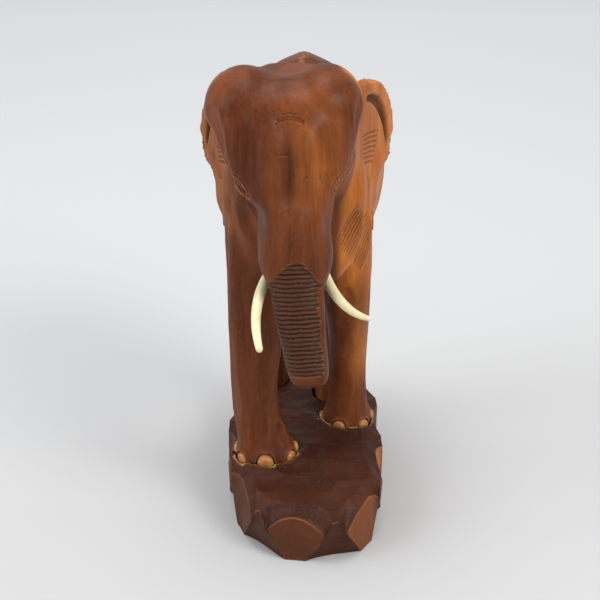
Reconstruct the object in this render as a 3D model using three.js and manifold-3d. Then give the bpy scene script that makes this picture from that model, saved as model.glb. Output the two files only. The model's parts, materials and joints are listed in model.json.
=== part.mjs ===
// A carved wooden elephant standing on a gouge-cut plinth, in millimetres.
// +Z is up and the elephant faces -Y. The origin is the middle of the plinth's underside.
// The figure is one carved block: trunk, ears, legs and tail belong to it. Its feet stand in shallow
// seats in the plinth, each on a dowel. Round toenails and two tusks are let into drilled holes,
// and each tusk can be turned in its socket.
import * as THREE from "three";
import { mergeVertices } from "three/addons/utils/BufferGeometryUtils.js";
import Module from "manifold-3d";

const wasm = await Module();
wasm.setup();

// ---------------------------------------------------------------- driving sizes
const gap = 0.3; // between pieces that touch

const plinth = {
  height: 36,
  frontMargin: 51, // ahead of the foremost foot
  backMargin: 9, // behind the rearmost foot
  sideMargin: 3.6, // outside the widest seat
  squareness: 3.2,
  cornerCut: 2.3, // squareness of the front corner on the right foot's side, which is cut back
  flutes: 20, // gouge cuts round the side
  gouge: 36, // radius of the gouge that made them
  lean: 0.25, // how far a ridge leans, as a share of a flute
  bottomTaper: 0.975,
  frontDrop: 4.5, // the top falls away towards the front edge
};

const seat = { depth: 4.4, clearance: 0.6 };

const dowel = { radius: 4, inPlinth: 12, inFoot: 13 };

const nail = { pocket: 3.2, proud: 2.4, rise: 0.9 };

const wheelbase = 69; // middle of the fore feet to the middle of the hind feet
const hindStep = 22; // how far one hind foot is ahead of the other
const leftFeet = { foreReach: 15.8, hindReach: 15.5, gap: 5.2 }; // half lengths, and the space between
const legLength = 110.4; // seat floor to belly
const bodyHeight = 136; // belly to spine
const crownRise = 9; // crown of the head above the spine

const tusk = {
  radius: 3.1,
  tipRadius: 2.1,
  peg: 10, // length inside the socket
  straight: 6, // leaves the socket in line with the peg
  length: 57, // along the curve, outside the socket
  bend: THREE.MathUtils.degToRad(46),
  sheath: 3.4, // wood round the socket
  lip: 1, // the sheath stands this far ahead of the socket's mouth
  relief: 1.5, // the hole widens by this much at the socket's mouth, so that the bent tusk can turn
  reliefLength: 20,
};

const ear = { thickness: 7, flare: THREE.MathUtils.degToRad(24) };
const ears = [
  { side: 1, x: 27, drop: 24, size: 1.05 },
  { side: -1, x: -38, drop: 27, size: 0.91 },
];

// ---------------------------------------------------------------- places worked out from them
const seatZ = plinth.height - seat.depth;
const footZ = seatZ + gap;
const bellyZ = seatZ + legLength;
const spineZ = bellyZ + bodyHeight;
const crownZ = spineZ + crownRise;

// Feet: x, distance behind the foremost foot's middle, half width and half length, the shin's place
// and half width, the top of the leg, and the nails as [angle, radius]. Angles are measured from
// straight ahead, positive towards +X.
// The left feet come nearest each other, so the fore feet's step is what the gap between them leaves.
const leftSpacing = leftFeet.foreReach + leftFeet.gap + leftFeet.hindReach;
const foreStep = 2 * (wheelbase - leftSpacing) - hindStep; // one fore foot is this far ahead of the other
const foreMid = foreStep / 2;
const hindMid = foreMid + wheelbase;
const feet = [
  {
    name: "fore_right",
    x: -24.5,
    back: 0,
    half: 18.8,
    reach: 16.8,
    shin: { x: -30.5, half: 14.8 },
    top: { x: -28, half: 21.2, reach: 22, height: 58 },
    nails: [[-105, 4], [-53, 4.2], [0, 5], [58, 4.4], [103, 4.2]],
  },
  {
    name: "fore_left",
    x: 28,
    back: foreStep,
    half: 16,
    reach: leftFeet.foreReach,
    shin: { x: 27.6, half: 12.2 },
    top: { x: 21.5, half: 19.5, reach: 21, height: 50 },
    nails: [[-88, 3.8], [-22, 4.2], [42, 4], [98, 3.8]],
  },
  {
    name: "hind_left",
    x: 22,
    back: hindMid - hindStep / 2,
    half: 15.5,
    reach: leftFeet.hindReach,
    shin: { x: 24, half: 12.8 },
    top: { x: 21, half: 22, reach: 27, height: 62 },
    nails: [[10, 4], [55, 3.8], [100, 3.8]],
  },
  {
    name: "hind_right",
    x: -26,
    back: hindMid + hindStep / 2,
    half: 16,
    reach: 16,
    shin: { x: -27, half: 13.2 },
    top: { x: -21, half: 22, reach: 27, height: 62 },
    nails: [[-100, 3.8], [-55, 3.8], [-10, 4]],
  },
];
const seatMargin = nail.proud + seat.clearance;
const foremost = feet[0];
const rearmost = feet[3];
const plinthLength =
  plinth.frontMargin + foremost.reach + rearmost.back + rearmost.reach + plinth.backMargin;
const halfLength = plinthLength / 2;
const widestSeat = Math.max(...feet.map((foot) => Math.abs(foot.x) + foot.half + seatMargin));
const halfWidth = widestSeat + plinth.sideMargin;
const firstFootY = -halfLength + plinth.frontMargin + foremost.reach;
for (const foot of feet) foot.y = firstFootY + foot.back;
const shoulderY = firstFootY + foreMid; // middle of the fore feet
const hipY = firstFootY + hindMid;
const faceY = firstFootY - 19; // a plane that the head's depths are measured from

// ---------------------------------------------------------------- making solids
// A closed three.js geometry as a solid that can be joined and cut.
function solid(geometry) {
  const bare = geometry.clone();
  bare.deleteAttribute("normal");
  bare.deleteAttribute("uv");
  const merged = mergeVertices(bare, 1e-4);
  const vertProperties = new Float32Array(merged.attributes.position.array);
  const triVerts = new Uint32Array(merged.index.array);
  return new wasm.Manifold(new wasm.Mesh({ numProp: 3, vertProperties, triVerts }));
}

function geometryOf(body) {
  const mesh = body.getMesh();
  const geometry = new THREE.BufferGeometry();
  geometry.setAttribute("position", new THREE.BufferAttribute(mesh.vertProperties, 3));
  geometry.setIndex(new THREE.BufferAttribute(mesh.triVerts, 1));
  return geometry.toNonIndexed();
}

// A unit cylinder standing on the XY plane whose vertices are moved by place(x, y, t):
// (x, y) lies in the unit circle and t runs from 0 at the bottom to 1 at the top.
function shaped(sides, steps, place) {
  const geometry = new THREE.CylinderGeometry(1, 1, 1, sides, steps).rotateX(Math.PI / 2);
  const position = geometry.attributes.position;
  const point = new THREE.Vector3();
  for (let i = 0; i < position.count; i += 1) {
    point.fromBufferAttribute(position, i);
    place(point.x, point.y, point.z + 0.5, point);
    position.setXYZ(i, point.x, point.y, point.z);
  }
  return solid(geometry);
}

// Stations are rows of numbers, the first of them the place along the loft; at(t) reads them smoothly.
function stationReader(rows) {
  const along = rows.map((row) => row[0]);
  const reader = new THREE.CubicInterpolant(along, rows.flat(), rows[0].length);
  const first = along[0];
  const span = along[along.length - 1] - first;
  return (t) => reader.evaluate(first + span * t);
}

// A point of the unit circle pushed out to a superellipse of the given squareness.
const squared = (value, squareness) => Math.sign(value) * Math.abs(value) ** (2 / squareness);

// An upright loft. Rows: [z, x, y, half width, reach forward, reach back, squareness].
function uprightLoft(rows, sides, steps) {
  const at = stationReader(rows);
  return shaped(sides, steps, (cx, cy, t, point) => {
    const [z, x, y, half, front, back, squareness] = at(t);
    const reach = cy < 0 ? front : back;
    point.set(x + half * squared(cx, squareness), y + reach * squared(cy, squareness), z);
  });
}

function ellipsoid(x, y, z, rx, ry, rz) {
  return solid(new THREE.SphereGeometry(1, 22, 14).scale(rx, ry, rz).translate(x, y, z));
}

// A cylinder of the given radius from one point to another. Its facets start at an angle that depends
// on the radius, so that rods about one axis don't share the lines where their facets meet.
function rod(radius, from, to, sides) {
  const along = new THREE.Vector3().subVectors(to, from);
  const turn = new THREE.Quaternion().setFromUnitVectors(
    new THREE.Vector3(0, 1, 0),
    along.clone().normalize(),
  );
  const geometry = new THREE.CylinderGeometry(radius, radius, along.length(), sides)
    .rotateY(radius)
    .translate(0, along.length() / 2, 0)
    .applyQuaternion(turn)
    .translate(from.x, from.y, from.z);
  return solid(geometry);
}

const joined = (bodies) => bodies.reduce((whole, body) => whole.add(body));

// ---------------------------------------------------------------- the plinth
// A point of its outline in plan, before the gouge cuts; angle 0 is +X and 90 degrees is +Y.
function outlinePoint(angle) {
  const cos = Math.cos(angle);
  const sin = Math.sin(angle);
  const squareness = cos < 0 && sin < 0 ? plinth.cornerCut : plinth.squareness;
  return new THREE.Vector2(halfWidth * squared(cos, squareness), halfLength * squared(sin, squareness));
}

// Reads the outline by its length: outlineAt(share) for a share of the way round from the front.
function outlineReader() {
  const steps = 1440;
  const points = [];
  for (let i = 0; i <= steps; i += 1) points.push(outlinePoint((i / steps) * 2 * Math.PI - Math.PI / 2));
  const lengths = [0];
  for (let i = 1; i <= steps; i += 1) lengths.push(lengths[i - 1] + points[i].distanceTo(points[i - 1]));
  const total = lengths[steps];
  const at = (share) => {
    const wanted = THREE.MathUtils.euclideanModulo(share, 1) * total;
    const i = Math.min(lengths.findIndex((length) => length > wanted), steps);
    const within = (wanted - lengths[i - 1]) / (lengths[i] - lengths[i - 1]);
    return points[i - 1].clone().lerp(points[i], within);
  };
  return { at, total };
}

// Its side is a ring of concave cuts, all by one gouge, so a wide cut is also a deep one. Neighbouring
// ridges lean towards each other and apart: a cut that is wide at the top is narrow at the bottom.
function makePlinth() {
  const across = 3; // faces across one flute
  const outline = outlineReader();
  const pitch = outline.total / plinth.flutes;
  const block = shaped(plinth.flutes * across, 3, (cx, cy, t, point) => {
    const radial = Math.hypot(cx, cy);
    const turn = THREE.MathUtils.euclideanModulo(Math.atan2(cy, cx) / (2 * Math.PI), 1) * plinth.flutes;
    const flute = Math.floor(turn + 1e-6);
    const within = Math.max(0, turn - flute);
    const lean = plinth.lean * (2 * t - 1) * (flute % 2 ? 1 : -1);
    const share = (flute + plinth.lean - lean + within * (1 + 2 * lean)) / plinth.flutes;
    const width = pitch * (1 + 2 * lean);
    const inset = ((width * width) / (8 * plinth.gouge)) * 4 * within * (1 - within);
    const edge = outline.at(share);
    const taper = plinth.bottomTaper + (1 - plinth.bottomTaper) * t;
    const scale = radial * taper * (1 - inset / edge.length());
    point.set(edge.x * scale, edge.y * scale, plinth.height * t);
  });
  const slopeStart = foremost.y - foremost.reach - seatMargin - 1;
  const run = slopeStart + halfLength;
  const slope = new THREE.Shape()
    .moveTo(0, 0)
    .lineTo(0, plinth.height)
    .lineTo(-run - plinth.frontMargin, plinth.height)
    .lineTo(-run, -plinth.frontDrop);
  const slopeCut = new THREE.ExtrudeGeometry(slope, { depth: 4 * halfWidth, bevelEnabled: false })
    .rotateX(Math.PI / 2)
    .rotateZ(Math.PI / 2)
    .translate(-2 * halfWidth, slopeStart, plinth.height);
  let body = block.subtract(solid(slopeCut));
  for (const foot of feet) body = body.subtract(seatBody(foot)).subtract(dowelBody(foot, gap));
  return body;
}

// The shallow seat that a foot stands in, wide enough for its nails.
function seatBody(foot) {
  const depth = seat.depth + 1;
  const geometry = new THREE.CylinderGeometry(1, 1, depth, 32)
    .rotateX(Math.PI / 2)
    .scale(foot.half + seatMargin, foot.reach + seatMargin, 1)
    .translate(foot.x, foot.y, seatZ + depth / 2);
  return solid(geometry);
}

// The dowel of one foot, or the hole for it where clearance is given.
function dowelBody(foot, clearance = 0) {
  return rod(
    dowel.radius + clearance,
    new THREE.Vector3(foot.x, foot.y, seatZ - dowel.inPlinth - clearance),
    new THREE.Vector3(foot.x, foot.y, footZ + dowel.inFoot + clearance),
    20,
  );
}

// ---------------------------------------------------------------- the toenails
// A round button: a plain shank in its pocket and a domed face. Its axis is Y before it is placed,
// and the mouth of its pocket is at y = 0.
function nailBody(foot, [degrees, radius]) {
  const points = [
    new THREE.Vector2(0, -nail.pocket),
    new THREE.Vector2(radius, -nail.pocket),
    new THREE.Vector2(radius, 0),
  ];
  const domeSteps = 4;
  for (let i = 1; i < domeSteps; i += 1) {
    const angle = (i / domeSteps) * (Math.PI / 2);
    points.push(new THREE.Vector2(radius * Math.cos(angle), nail.proud * Math.sin(angle)));
  }
  points.push(new THREE.Vector2(0, nail.proud));
  return solid(new THREE.LatheGeometry(points, 14).applyMatrix4(nailMatrix(foot, degrees, radius)));
}

// Where a nail stands: on the foot's rim, looking straight out from the middle of the foot.
function nailMatrix(foot, degrees, radius) {
  const angle = THREE.MathUtils.degToRad(degrees);
  const out = new THREE.Vector3(Math.sin(angle), -Math.cos(angle), 0);
  const turn = new THREE.Quaternion().setFromUnitVectors(new THREE.Vector3(0, 1, 0), out);
  const place = new THREE.Vector3(foot.half * out.x, foot.reach * out.y, 0);
  place.add(new THREE.Vector3(foot.x, foot.y, footZ + radius + nail.rise));
  return new THREE.Matrix4().compose(place, turn, new THREE.Vector3(1, 1, 1));
}

// The drilled pocket, carried on outwards so that it breaks through the foot's side.
function nailPocket(foot, [degrees, radius]) {
  const length = nail.pocket + gap + nail.proud + 1;
  const geometry = new THREE.CylinderGeometry(radius + gap, radius + gap, length, 14)
    .translate(0, length / 2 - nail.pocket - gap, 0)
    .applyMatrix4(nailMatrix(foot, degrees, radius));
  return solid(geometry);
}

// ---------------------------------------------------------------- the tusks
// The head leans a little, so the two sockets aren't mirror images. A tusk leaves its socket along
// axis and bends towards side.
const mouth = { y: faceY - 7.5, z: crownZ - 112.3 };
const tusks = [
  {
    name: "tusk_right",
    socket: new THREE.Vector3(-17.8, mouth.y, mouth.z),
    axis: new THREE.Vector3(-0.42, -0.83, -0.36),
    side: new THREE.Vector3(0.77, -0.13, -0.62),
  },
  {
    name: "tusk_left",
    socket: new THREE.Vector3(9.3, mouth.y, mouth.z),
    axis: new THREE.Vector3(0.3, -0.83, -0.48),
    side: new THREE.Vector3(0.49, -0.3, 0.82),
  },
];

// A straight peg, then a tapering curve of even bend with a rounded tip.
function tuskBody({ socket, axis, side }) {
  const along = axis.clone().normalize();
  const inward = side.clone().addScaledVector(along, -side.dot(along)).normalize();
  const across = new THREE.Vector3().crossVectors(along, inward);
  const curved = tusk.length - tusk.straight;
  const bendRadius = curved / tusk.bend;
  const total = tusk.peg + tusk.length;
  return shaped(14, 24, (cx, cy, t, point) => {
    const s = t * total - tusk.peg;
    const angle = Math.max(0, s - tusk.straight) / bendRadius;
    const forward = Math.min(s, tusk.straight) + bendRadius * Math.sin(angle);
    const aside = bendRadius * (1 - Math.cos(angle));
    const share = Math.max(0, s) / tusk.length;
    const left = tusk.length - s;
    const roundOff = left < tusk.tipRadius ? Math.sqrt(1 - (1 - left / tusk.tipRadius) ** 2) : 1;
    const radius = (tusk.radius - (tusk.radius - tusk.tipRadius) * share ** 1.5) * Math.max(0.25, roundOff);
    const outward = aside + radius * cx * Math.cos(angle);
    const ahead = forward - radius * cx * Math.sin(angle);
    point
      .copy(socket)
      .addScaledVector(along, ahead)
      .addScaledVector(inward, outward)
      .addScaledVector(across, radius * cy);
  });
}

// A rod about a tusk's peg, from one distance ahead of the socket's mouth to another.
function aboutPeg({ socket, axis }, radius, from, to) {
  const along = axis.clone().normalize();
  const start = socket.clone().addScaledVector(along, from);
  const end = socket.clone().addScaledVector(along, to);
  return rod(radius, start, end, 20);
}

function tuskSocket(one) {
  const hole = aboutPeg(one, tusk.radius + gap, -tusk.peg - gap, tusk.straight);
  return hole.add(aboutPeg(one, tusk.radius + tusk.relief, 0, tusk.reliefLength));
}

const tuskSheath = (one) => aboutPeg(one, tusk.radius + tusk.sheath, -tusk.peg - tusk.sheath, tusk.lip);

// ---------------------------------------------------------------- the carved figure
// A leg rises from its round foot to a narrower shin and opens out into the shoulder or the thigh.
function makeLeg(foot) {
  const { shin, top } = foot;
  const rise = bellyZ - seatZ;
  const hub = foot.name.startsWith("fore") ? shoulderY : hipY;
  const mix = THREE.MathUtils.lerp;
  // Rows: [z, x, y, half width, reach forward and back].
  const lower = [
    [footZ, foot.x, foot.y, foot.half, foot.reach],
    [seatZ + 0.08 * rise, foot.x, foot.y, foot.half, foot.reach],
    [seatZ + 0.15 * rise, mix(foot.x, shin.x, 0.3), foot.y, mix(shin.half, foot.half, 0.45), 14.5],
    [seatZ + 0.23 * rise, mix(foot.x, shin.x, 0.65), foot.y, shin.half + 0.6, 13.5],
    [seatZ + 0.42 * rise, shin.x, mix(foot.y, hub, 0.08), shin.half, 13.5],
    [seatZ + 0.64 * rise, shin.x, mix(foot.y, hub, 0.2), shin.half + 0.8, 15.5],
  ];
  // Rows: [z, share of the way from shin to top, from foot to hub, of the widening, reach].
  const upper = [
    [seatZ + 0.9 * rise, 0.3, 0.45, 0.4, 18],
    [bellyZ + top.height / 2, 0.7, 0.75, 0.8, 21],
    [bellyZ + top.height, 1, 1, 1, top.reach],
  ].map(([z, inward, back, widen, reach]) => [
    z,
    mix(shin.x, top.x, inward),
    mix(foot.y, hub, back),
    mix(shin.half, top.half, widen),
    reach,
  ]);
  const rows = [...lower, ...upper].map(([z, x, y, half, reach]) => [z, x, y, half, reach, reach, 2.3]);
  return uprightLoft(rows, 20, 14);
}

// The barrel of the body, lofted from chest to rump. Its back comes to a soft ridge along the spine,
// highest at the withers. Rows: [share of the length, x, half width, underside, top], the last two as
// shares of the body's height above the belly.
function makeTorso() {
  const start = shoulderY - 40;
  const length = hipY + 37 - start;
  const rows = [
    [0, -3, 14, 0.28, 0.62],
    [0.05, -3, 30, 0.12, 0.8],
    [0.18, -3, 39.5, 0.03, 0.93],
    [0.32, -2, 43.5, 0, 0.985],
    [0.44, -1, 47, 0, 1],
    [0.6, -0.5, 50.5, 0, 0.96],
    [0.75, 0, 49, 0.02, 0.905],
    [0.88, 0, 41.5, 0.08, 0.815],
    [0.96, 0, 27, 0.18, 0.7],
    [1, 0, 13, 0.32, 0.54],
  ];
  const ridge = 0.26; // share of the height above the middle that the ridge takes
  const at = stationReader(rows);
  return shaped(32, 18, (cx, cy, t, point) => {
    const [share, x, half, under, top] = at(t);
    const middle = (under + top) / 2;
    const side = squared(cx, 2.4);
    const height = Math.abs(squared(cy, 2.4));
    const roof = ridge * Math.max(0, Math.hypot(cx, cy) - Math.abs(side));
    // The loft is made upright and laid down, so its -Y becomes up.
    const lift = cy < 0 ? (top - middle) * ((1 - ridge) * height + roof) : -(middle - under) * height;
    point.set(x + half * side, start + length * share, bellyZ + bodyHeight * (middle + lift));
  });
}

// Face and trunk hang as one upright loft, drawn from the trunk's tip up to the crown.
// Rows: [drop below the crown, x, depth behind the face plane, half width, front, back, squareness].
function makeHead() {
  const rows = [
    [175.5, 2.2, -27, 9, 7, 7, 2.6],
    [173, 2.2, -27, 10.8, 9.5, 9, 2.6],
    [167, 1.5, -27, 12, 11, 10.5, 2.6],
    [154, -0.5, -27, 13, 12, 11.5, 2.6],
    [127, -3.8, -26, 14.8, 13, 14, 2.6],
    [117, -4.8, -25, 15.5, 14, 16, 2.5],
    [111, -5.1, -23, 17.6, 16, 18, 2.4],
    [102.5, -5.4, -20, 20.8, 19, 24, 2.3],
    [96, -5.5, -18, 21, 21, 26, 2.3],
    [87, -6.3, -12, 20.5, 26, 30, 2.2],
    [74, -6, -6, 22, 30, 34, 2.2],
    [64, -9.8, -2, 27.5, 31, 38, 2.3],
    [56, -9.3, 0, 31.8, 31, 42, 2.4],
    [44, -10, 3, 37, 32, 44, 2.5],
    [32, -10.8, 6, 40.4, 33, 44, 2.5],
    [22, -11.3, 8, 42, 31, 40, 2.5],
    [12, -11, 10, 36, 25, 32, 2.4],
    [5, -11, 12, 25, 16, 22, 2.2],
  ].map(([drop, x, depth, ...rest]) => [crownZ - drop, x, faceY + depth, ...rest]);
  const face = uprightLoft(rows, 28, 26);
  const domes = [
    ellipsoid(-33, faceY + 8, crownZ - 22.5, 22.4, 27, 21.5),
    ellipsoid(10.5, faceY + 8, crownZ - 21.5, 21.6, 27, 21.5),
  ];
  const jaw = ellipsoid(-5, faceY - 2, crownZ - 102, 17.5, 20, 19);
  const neck = ellipsoid(-5, shoulderY - 20, crownZ - 52, 36, 38, 42);
  return joined([face, ...domes, jaw, neck, ...tusks.map(tuskSheath)]);
}

// An ear is a slab cut to outline, drawn back from its root and hanging from its top edge.
// side is 1 for the left ear and -1 for the right one, which is the smaller.
function makeEar({ side, x, drop, size }) {
  const outline = new THREE.Shape()
    .moveTo(0, -10)
    .quadraticCurveTo(10, 5, 30, 4)
    .quadraticCurveTo(52, 2, 55, -22)
    .quadraticCurveTo(57, -38, 54, -46)
    .lineTo(39, -48)
    .quadraticCurveTo(32, -50, 31, -66)
    .quadraticCurveTo(22, -75, 12, -66)
    .quadraticCurveTo(4, -56, 0, -10);
  const bevel = 1.5;
  const slab = new THREE.ExtrudeGeometry(outline, {
    depth: ear.thickness - 2 * bevel,
    bevelThickness: bevel,
    bevelSize: bevel,
    bevelSegments: 1,
    curveSegments: 5,
  })
    .translate(0, 0, bevel - ear.thickness / 2)
    .scale(size, size, 1)
    .rotateX(Math.PI / 2)
    .rotateZ(Math.PI / 2 - side * ear.flare)
    .translate(x, shoulderY - 22, crownZ - drop);
  return solid(slab);
}

// The tail hangs down the rump and lies against the right thigh.
function makeTail() {
  const backOf = (depth) => hipY + depth;
  const rows = [
    [bellyZ - 34, -15, backOf(26), 5, 5, 4.5, 2],
    [bellyZ - 22, -14, backOf(27.5), 5.2, 6, 4.5, 2],
    [bellyZ, -10, backOf(30), 3.6, 6, 4, 2],
    [bellyZ + 40, -3, backOf(35.5), 4.2, 8, 4.2, 2],
    [bellyZ + 70, 0, backOf(34.5), 5.2, 8, 5, 2],
    [bellyZ + 88, 0, backOf(29), 5.5, 8, 5, 2],
  ];
  return uprightLoft(rows, 12, 12);
}

function makeFigure() {
  let body = joined([makeTorso(), makeHead(), ...ears.map(makeEar), makeTail(), ...feet.map(makeLeg)]);
  for (const foot of feet) {
    body = body.subtract(dowelBody(foot, gap));
    for (const one of foot.nails) body = body.subtract(nailPocket(foot, one));
  }
  for (const one of tusks) body = body.subtract(tuskSocket(one));
  return body;
}

// ---------------------------------------------------------------- the assembly
const wood = (color, roughness) => new THREE.MeshStandardMaterial({ color, roughness, metalness: 0 });
const looks = {
  figure: wood(0x8a4f2a, 0.42),
  plinth: wood(0x4f2a1c, 0.5),
  nail: wood(0xb07a3c, 0.5),
  dowel: wood(0xc9a26b, 0.8),
  tusk: new THREE.MeshStandardMaterial({ color: 0xe6dfae, roughness: 0.3, metalness: 0 }),
};

const elephant = new THREE.Group();
function addPiece(name, body, material) {
  const mesh = new THREE.Mesh(geometryOf(body), material);
  mesh.name = name;
  elephant.add(mesh);
}

addPiece("plinth", makePlinth(), looks.plinth);
addPiece("figure", makeFigure(), looks.figure);
for (const one of tusks) addPiece(one.name, tuskBody(one), looks.tusk);
for (const foot of feet) {
  addPiece(`dowel_${foot.name}`, dowelBody(foot), looks.dowel);
  foot.nails.forEach((one, i) => {
    addPiece(`nail_${foot.name}_${i + 1}`, nailBody(foot, one), looks.nail);
  });
}

export default elephant;
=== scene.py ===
# A carved wooden elephant on a gouge-cut plinth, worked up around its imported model.
# Shapes are worked out in millimetres and become metres when their mesh is made.
import json
import math
import bmesh
import bpy
import numpy as np
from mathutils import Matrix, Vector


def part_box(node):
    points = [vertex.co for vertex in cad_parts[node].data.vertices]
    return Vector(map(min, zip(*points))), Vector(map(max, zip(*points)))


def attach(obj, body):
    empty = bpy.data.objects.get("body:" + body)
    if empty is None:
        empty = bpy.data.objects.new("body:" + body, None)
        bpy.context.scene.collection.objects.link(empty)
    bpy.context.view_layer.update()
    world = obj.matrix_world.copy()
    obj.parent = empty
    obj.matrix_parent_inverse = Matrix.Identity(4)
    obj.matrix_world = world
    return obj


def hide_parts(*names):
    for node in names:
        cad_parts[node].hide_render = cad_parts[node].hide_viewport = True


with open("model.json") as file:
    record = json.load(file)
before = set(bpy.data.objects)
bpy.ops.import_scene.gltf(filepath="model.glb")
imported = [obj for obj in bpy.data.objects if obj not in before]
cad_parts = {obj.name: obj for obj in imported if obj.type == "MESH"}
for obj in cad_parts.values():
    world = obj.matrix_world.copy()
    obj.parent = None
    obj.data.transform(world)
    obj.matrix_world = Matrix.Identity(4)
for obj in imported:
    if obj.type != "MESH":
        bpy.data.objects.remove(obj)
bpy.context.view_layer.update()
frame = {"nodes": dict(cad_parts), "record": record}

mm = 0.001


def boxOf(node):
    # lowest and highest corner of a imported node, in millimetres
    low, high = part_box(node)
    return np.array(low) / mm, np.array(high) / mm


def middleOf(node):
    low, high = boxOf(node)
    return (low + high) / 2


def linear(red, green, blue):
    # display values from 0 to 255, as the linear colour that a shader takes
    c = np.array([red, green, blue]) / 255
    return (*np.where(c <= 0.04045, c / 12.92, ((c + 0.055) / 1.055) ** 2.4), 1.0)


def ease(x):
    # 0 below 0, 1 above 1, smooth between
    x = np.clip(x, 0, 1)
    return x * x * (3 - 2 * x)


def power(value, exponent):
    return np.sign(value) * np.abs(value) ** exponent


def stationsAt(rows, t):
    # cubic curves through the rows, whose first column is the place along; t runs from 0 to 1
    rows = np.asarray(rows, float)
    key = rows[:, 0]
    slope = np.gradient(rows, key, axis=0)
    at = key[0] + (key[-1] - key[0]) * t
    i = np.clip(np.searchsorted(key, at, side="right") - 1, 0, len(key) - 2)
    h = (key[i + 1] - key[i])[:, None]
    u = (at - key[i])[:, None] / h
    a, b = rows[i], rows[i + 1]
    return (
        (2 * u**3 - 3 * u**2 + 1) * a
        + (u**3 - 2 * u**2 + u) * h * slope[i]
        + (3 * u**2 - 2 * u**3) * b
        + (u**3 - u**2) * h * slope[i + 1]
    )


def shell(grid):
    # grid[row, column] is a point: columns close on themselves, and each end row closes on its middle
    rows, cols = grid.shape[:2]
    c = np.arange(cols)
    after = (c + 1) % cols
    r = np.arange(rows - 1)[:, None] * cols
    quads = np.stack([r + c, r + after, r + after + cols, r + c + cols], -1).reshape(-1, 4)
    low, high, last = rows * cols, rows * cols + 1, (rows - 1) * cols
    tris = np.concatenate([
        np.stack([np.full(cols, low), after, c], -1),
        np.stack([np.full(cols, high), last + c, last + after], -1),
    ])
    points = np.concatenate([grid.reshape(-1, 3), grid[:1].mean(1), grid[-1:].mean(1)])
    # the signed volume says whether the faces look outwards
    a, b, d = points[quads[:, 0]], points[quads[:, 1]], points[quads[:, 2]]
    e = points[quads[:, 3]]
    volume = np.einsum("ij,ij->", a, np.cross(b, d)) + np.einsum("ij,ij->", a, np.cross(d, e))
    a, b, d = (points[tris[:, i]] for i in range(3))
    volume += np.einsum("ij,ij->", a, np.cross(b, d))
    if volume < 0:
        quads, tris = quads[:, ::-1], tris[:, ::-1]
    return points, quads, tris


def meshFrom(name, points, quads, tris):
    mesh = bpy.data.meshes.new(name)
    corners = np.concatenate([quads.ravel(), tris.ravel()])
    sizes = np.concatenate([np.full(len(quads), 4), np.full(len(tris), 3)])
    starts = np.concatenate([[0], np.cumsum(sizes)[:-1]])
    mesh.vertices.add(len(points))
    mesh.vertices.foreach_set("co", (points * mm).astype(np.float32).ravel())
    mesh.loops.add(len(corners))
    mesh.loops.foreach_set("vertex_index", corners.astype(np.int32))
    mesh.polygons.add(len(sizes))
    mesh.polygons.foreach_set("loop_start", starts.astype(np.int32))
    mesh.update(calc_edges=True)
    mesh.validate()
    return mesh


def objectFrom(name, mesh):
    piece = bpy.data.objects.new(name, mesh)
    bpy.context.scene.collection.objects.link(piece)
    return piece


def readPoints(mesh):
    values = np.empty(len(mesh.vertices) * 3, np.float32)
    mesh.vertices.foreach_get("co", values)
    return values.reshape(-1, 3).astype(float) / mm


def readNormals(mesh):
    values = np.empty(len(mesh.vertices) * 3, np.float32)
    mesh.vertices.foreach_get("normal", values)
    return values.reshape(-1, 3).astype(float)


def writePoints(mesh, points):
    mesh.vertices.foreach_set("co", (points * mm).astype(np.float32).ravel())
    mesh.update()


def edgesOf(mesh):
    values = np.empty(len(mesh.edges) * 2, np.int32)
    mesh.edges.foreach_get("vertices", values)
    return values.reshape(-1, 2)


def averaged(values, edges):
    # the mean of each vertex's neighbours, for every column of values
    ends = np.concatenate([edges[:, 0], edges[:, 1]])
    others = np.concatenate([edges[:, 1], edges[:, 0]])
    count = np.maximum(np.bincount(ends, minlength=len(values)), 1)
    sums = [np.bincount(ends, values[others, k], len(values)) for k in range(values.shape[1])]
    return np.stack(sums, -1) / count[:, None]


def relaxed(points, edges, rounds, weight=0.5):
    # each round moves every vertex part of the way to the mean of its neighbours
    for _ in range(rounds):
        points = points + np.asarray(weight) * (averaged(points, edges) - points)
    return points


def smoothShaded(mesh):
    mesh.polygons.foreach_set("use_smooth", np.ones(len(mesh.polygons), bool))
    mesh.update()


def paint(mesh, name, channels):
    # four masks from 0 to 1 for each vertex, kept as one colour attribute
    layer = mesh.color_attributes.new(name, "FLOAT_COLOR", "POINT")
    layer.data.foreach_set("color", np.clip(channels, 0, 1).astype(np.float32).ravel())


def scooped(points, seeds, stretch, radius, depth):
    # how deep round gouges cut at each point: the deepest of depth - distance^2 / (2 radius) over all seeds
    p, s = points * stretch, seeds * stretch
    cut = np.empty(len(p))
    for start in range(0, len(p), 20000):
        part = p[start:start + 20000]
        far = (part**2).sum(1)[:, None] + (s**2).sum(1)[None] - 2 * part @ s.T
        cut[start:start + 20000] = depth - far.min(1) / (2 * radius)
    return np.maximum(cut, 0)


def strokeCut(points, strokes, width):
    # strokes are rows x1, y1, x2, y2 in a plane: 1 on a line, falling to 0 at half its width away
    a, b = strokes[:, :2], strokes[:, 2:]
    run = b - a
    best = np.zeros(len(points))
    for start in range(0, len(points), 20000):
        part = points[start:start + 20000, None, :] - a[None]
        along = np.clip((part * run).sum(-1) / (run**2).sum(-1), 0, 1)
        far = np.linalg.norm(part - along[..., None] * run, axis=-1)
        taper = 0.35 + 0.65 * np.sin(np.pi * np.clip(along, 0.03, 0.97)) ** 0.5
        best[start:start + 20000] = np.max(np.clip(1 - far / (width / 2 * taper), 0, 1), axis=1)
    return best


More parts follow.
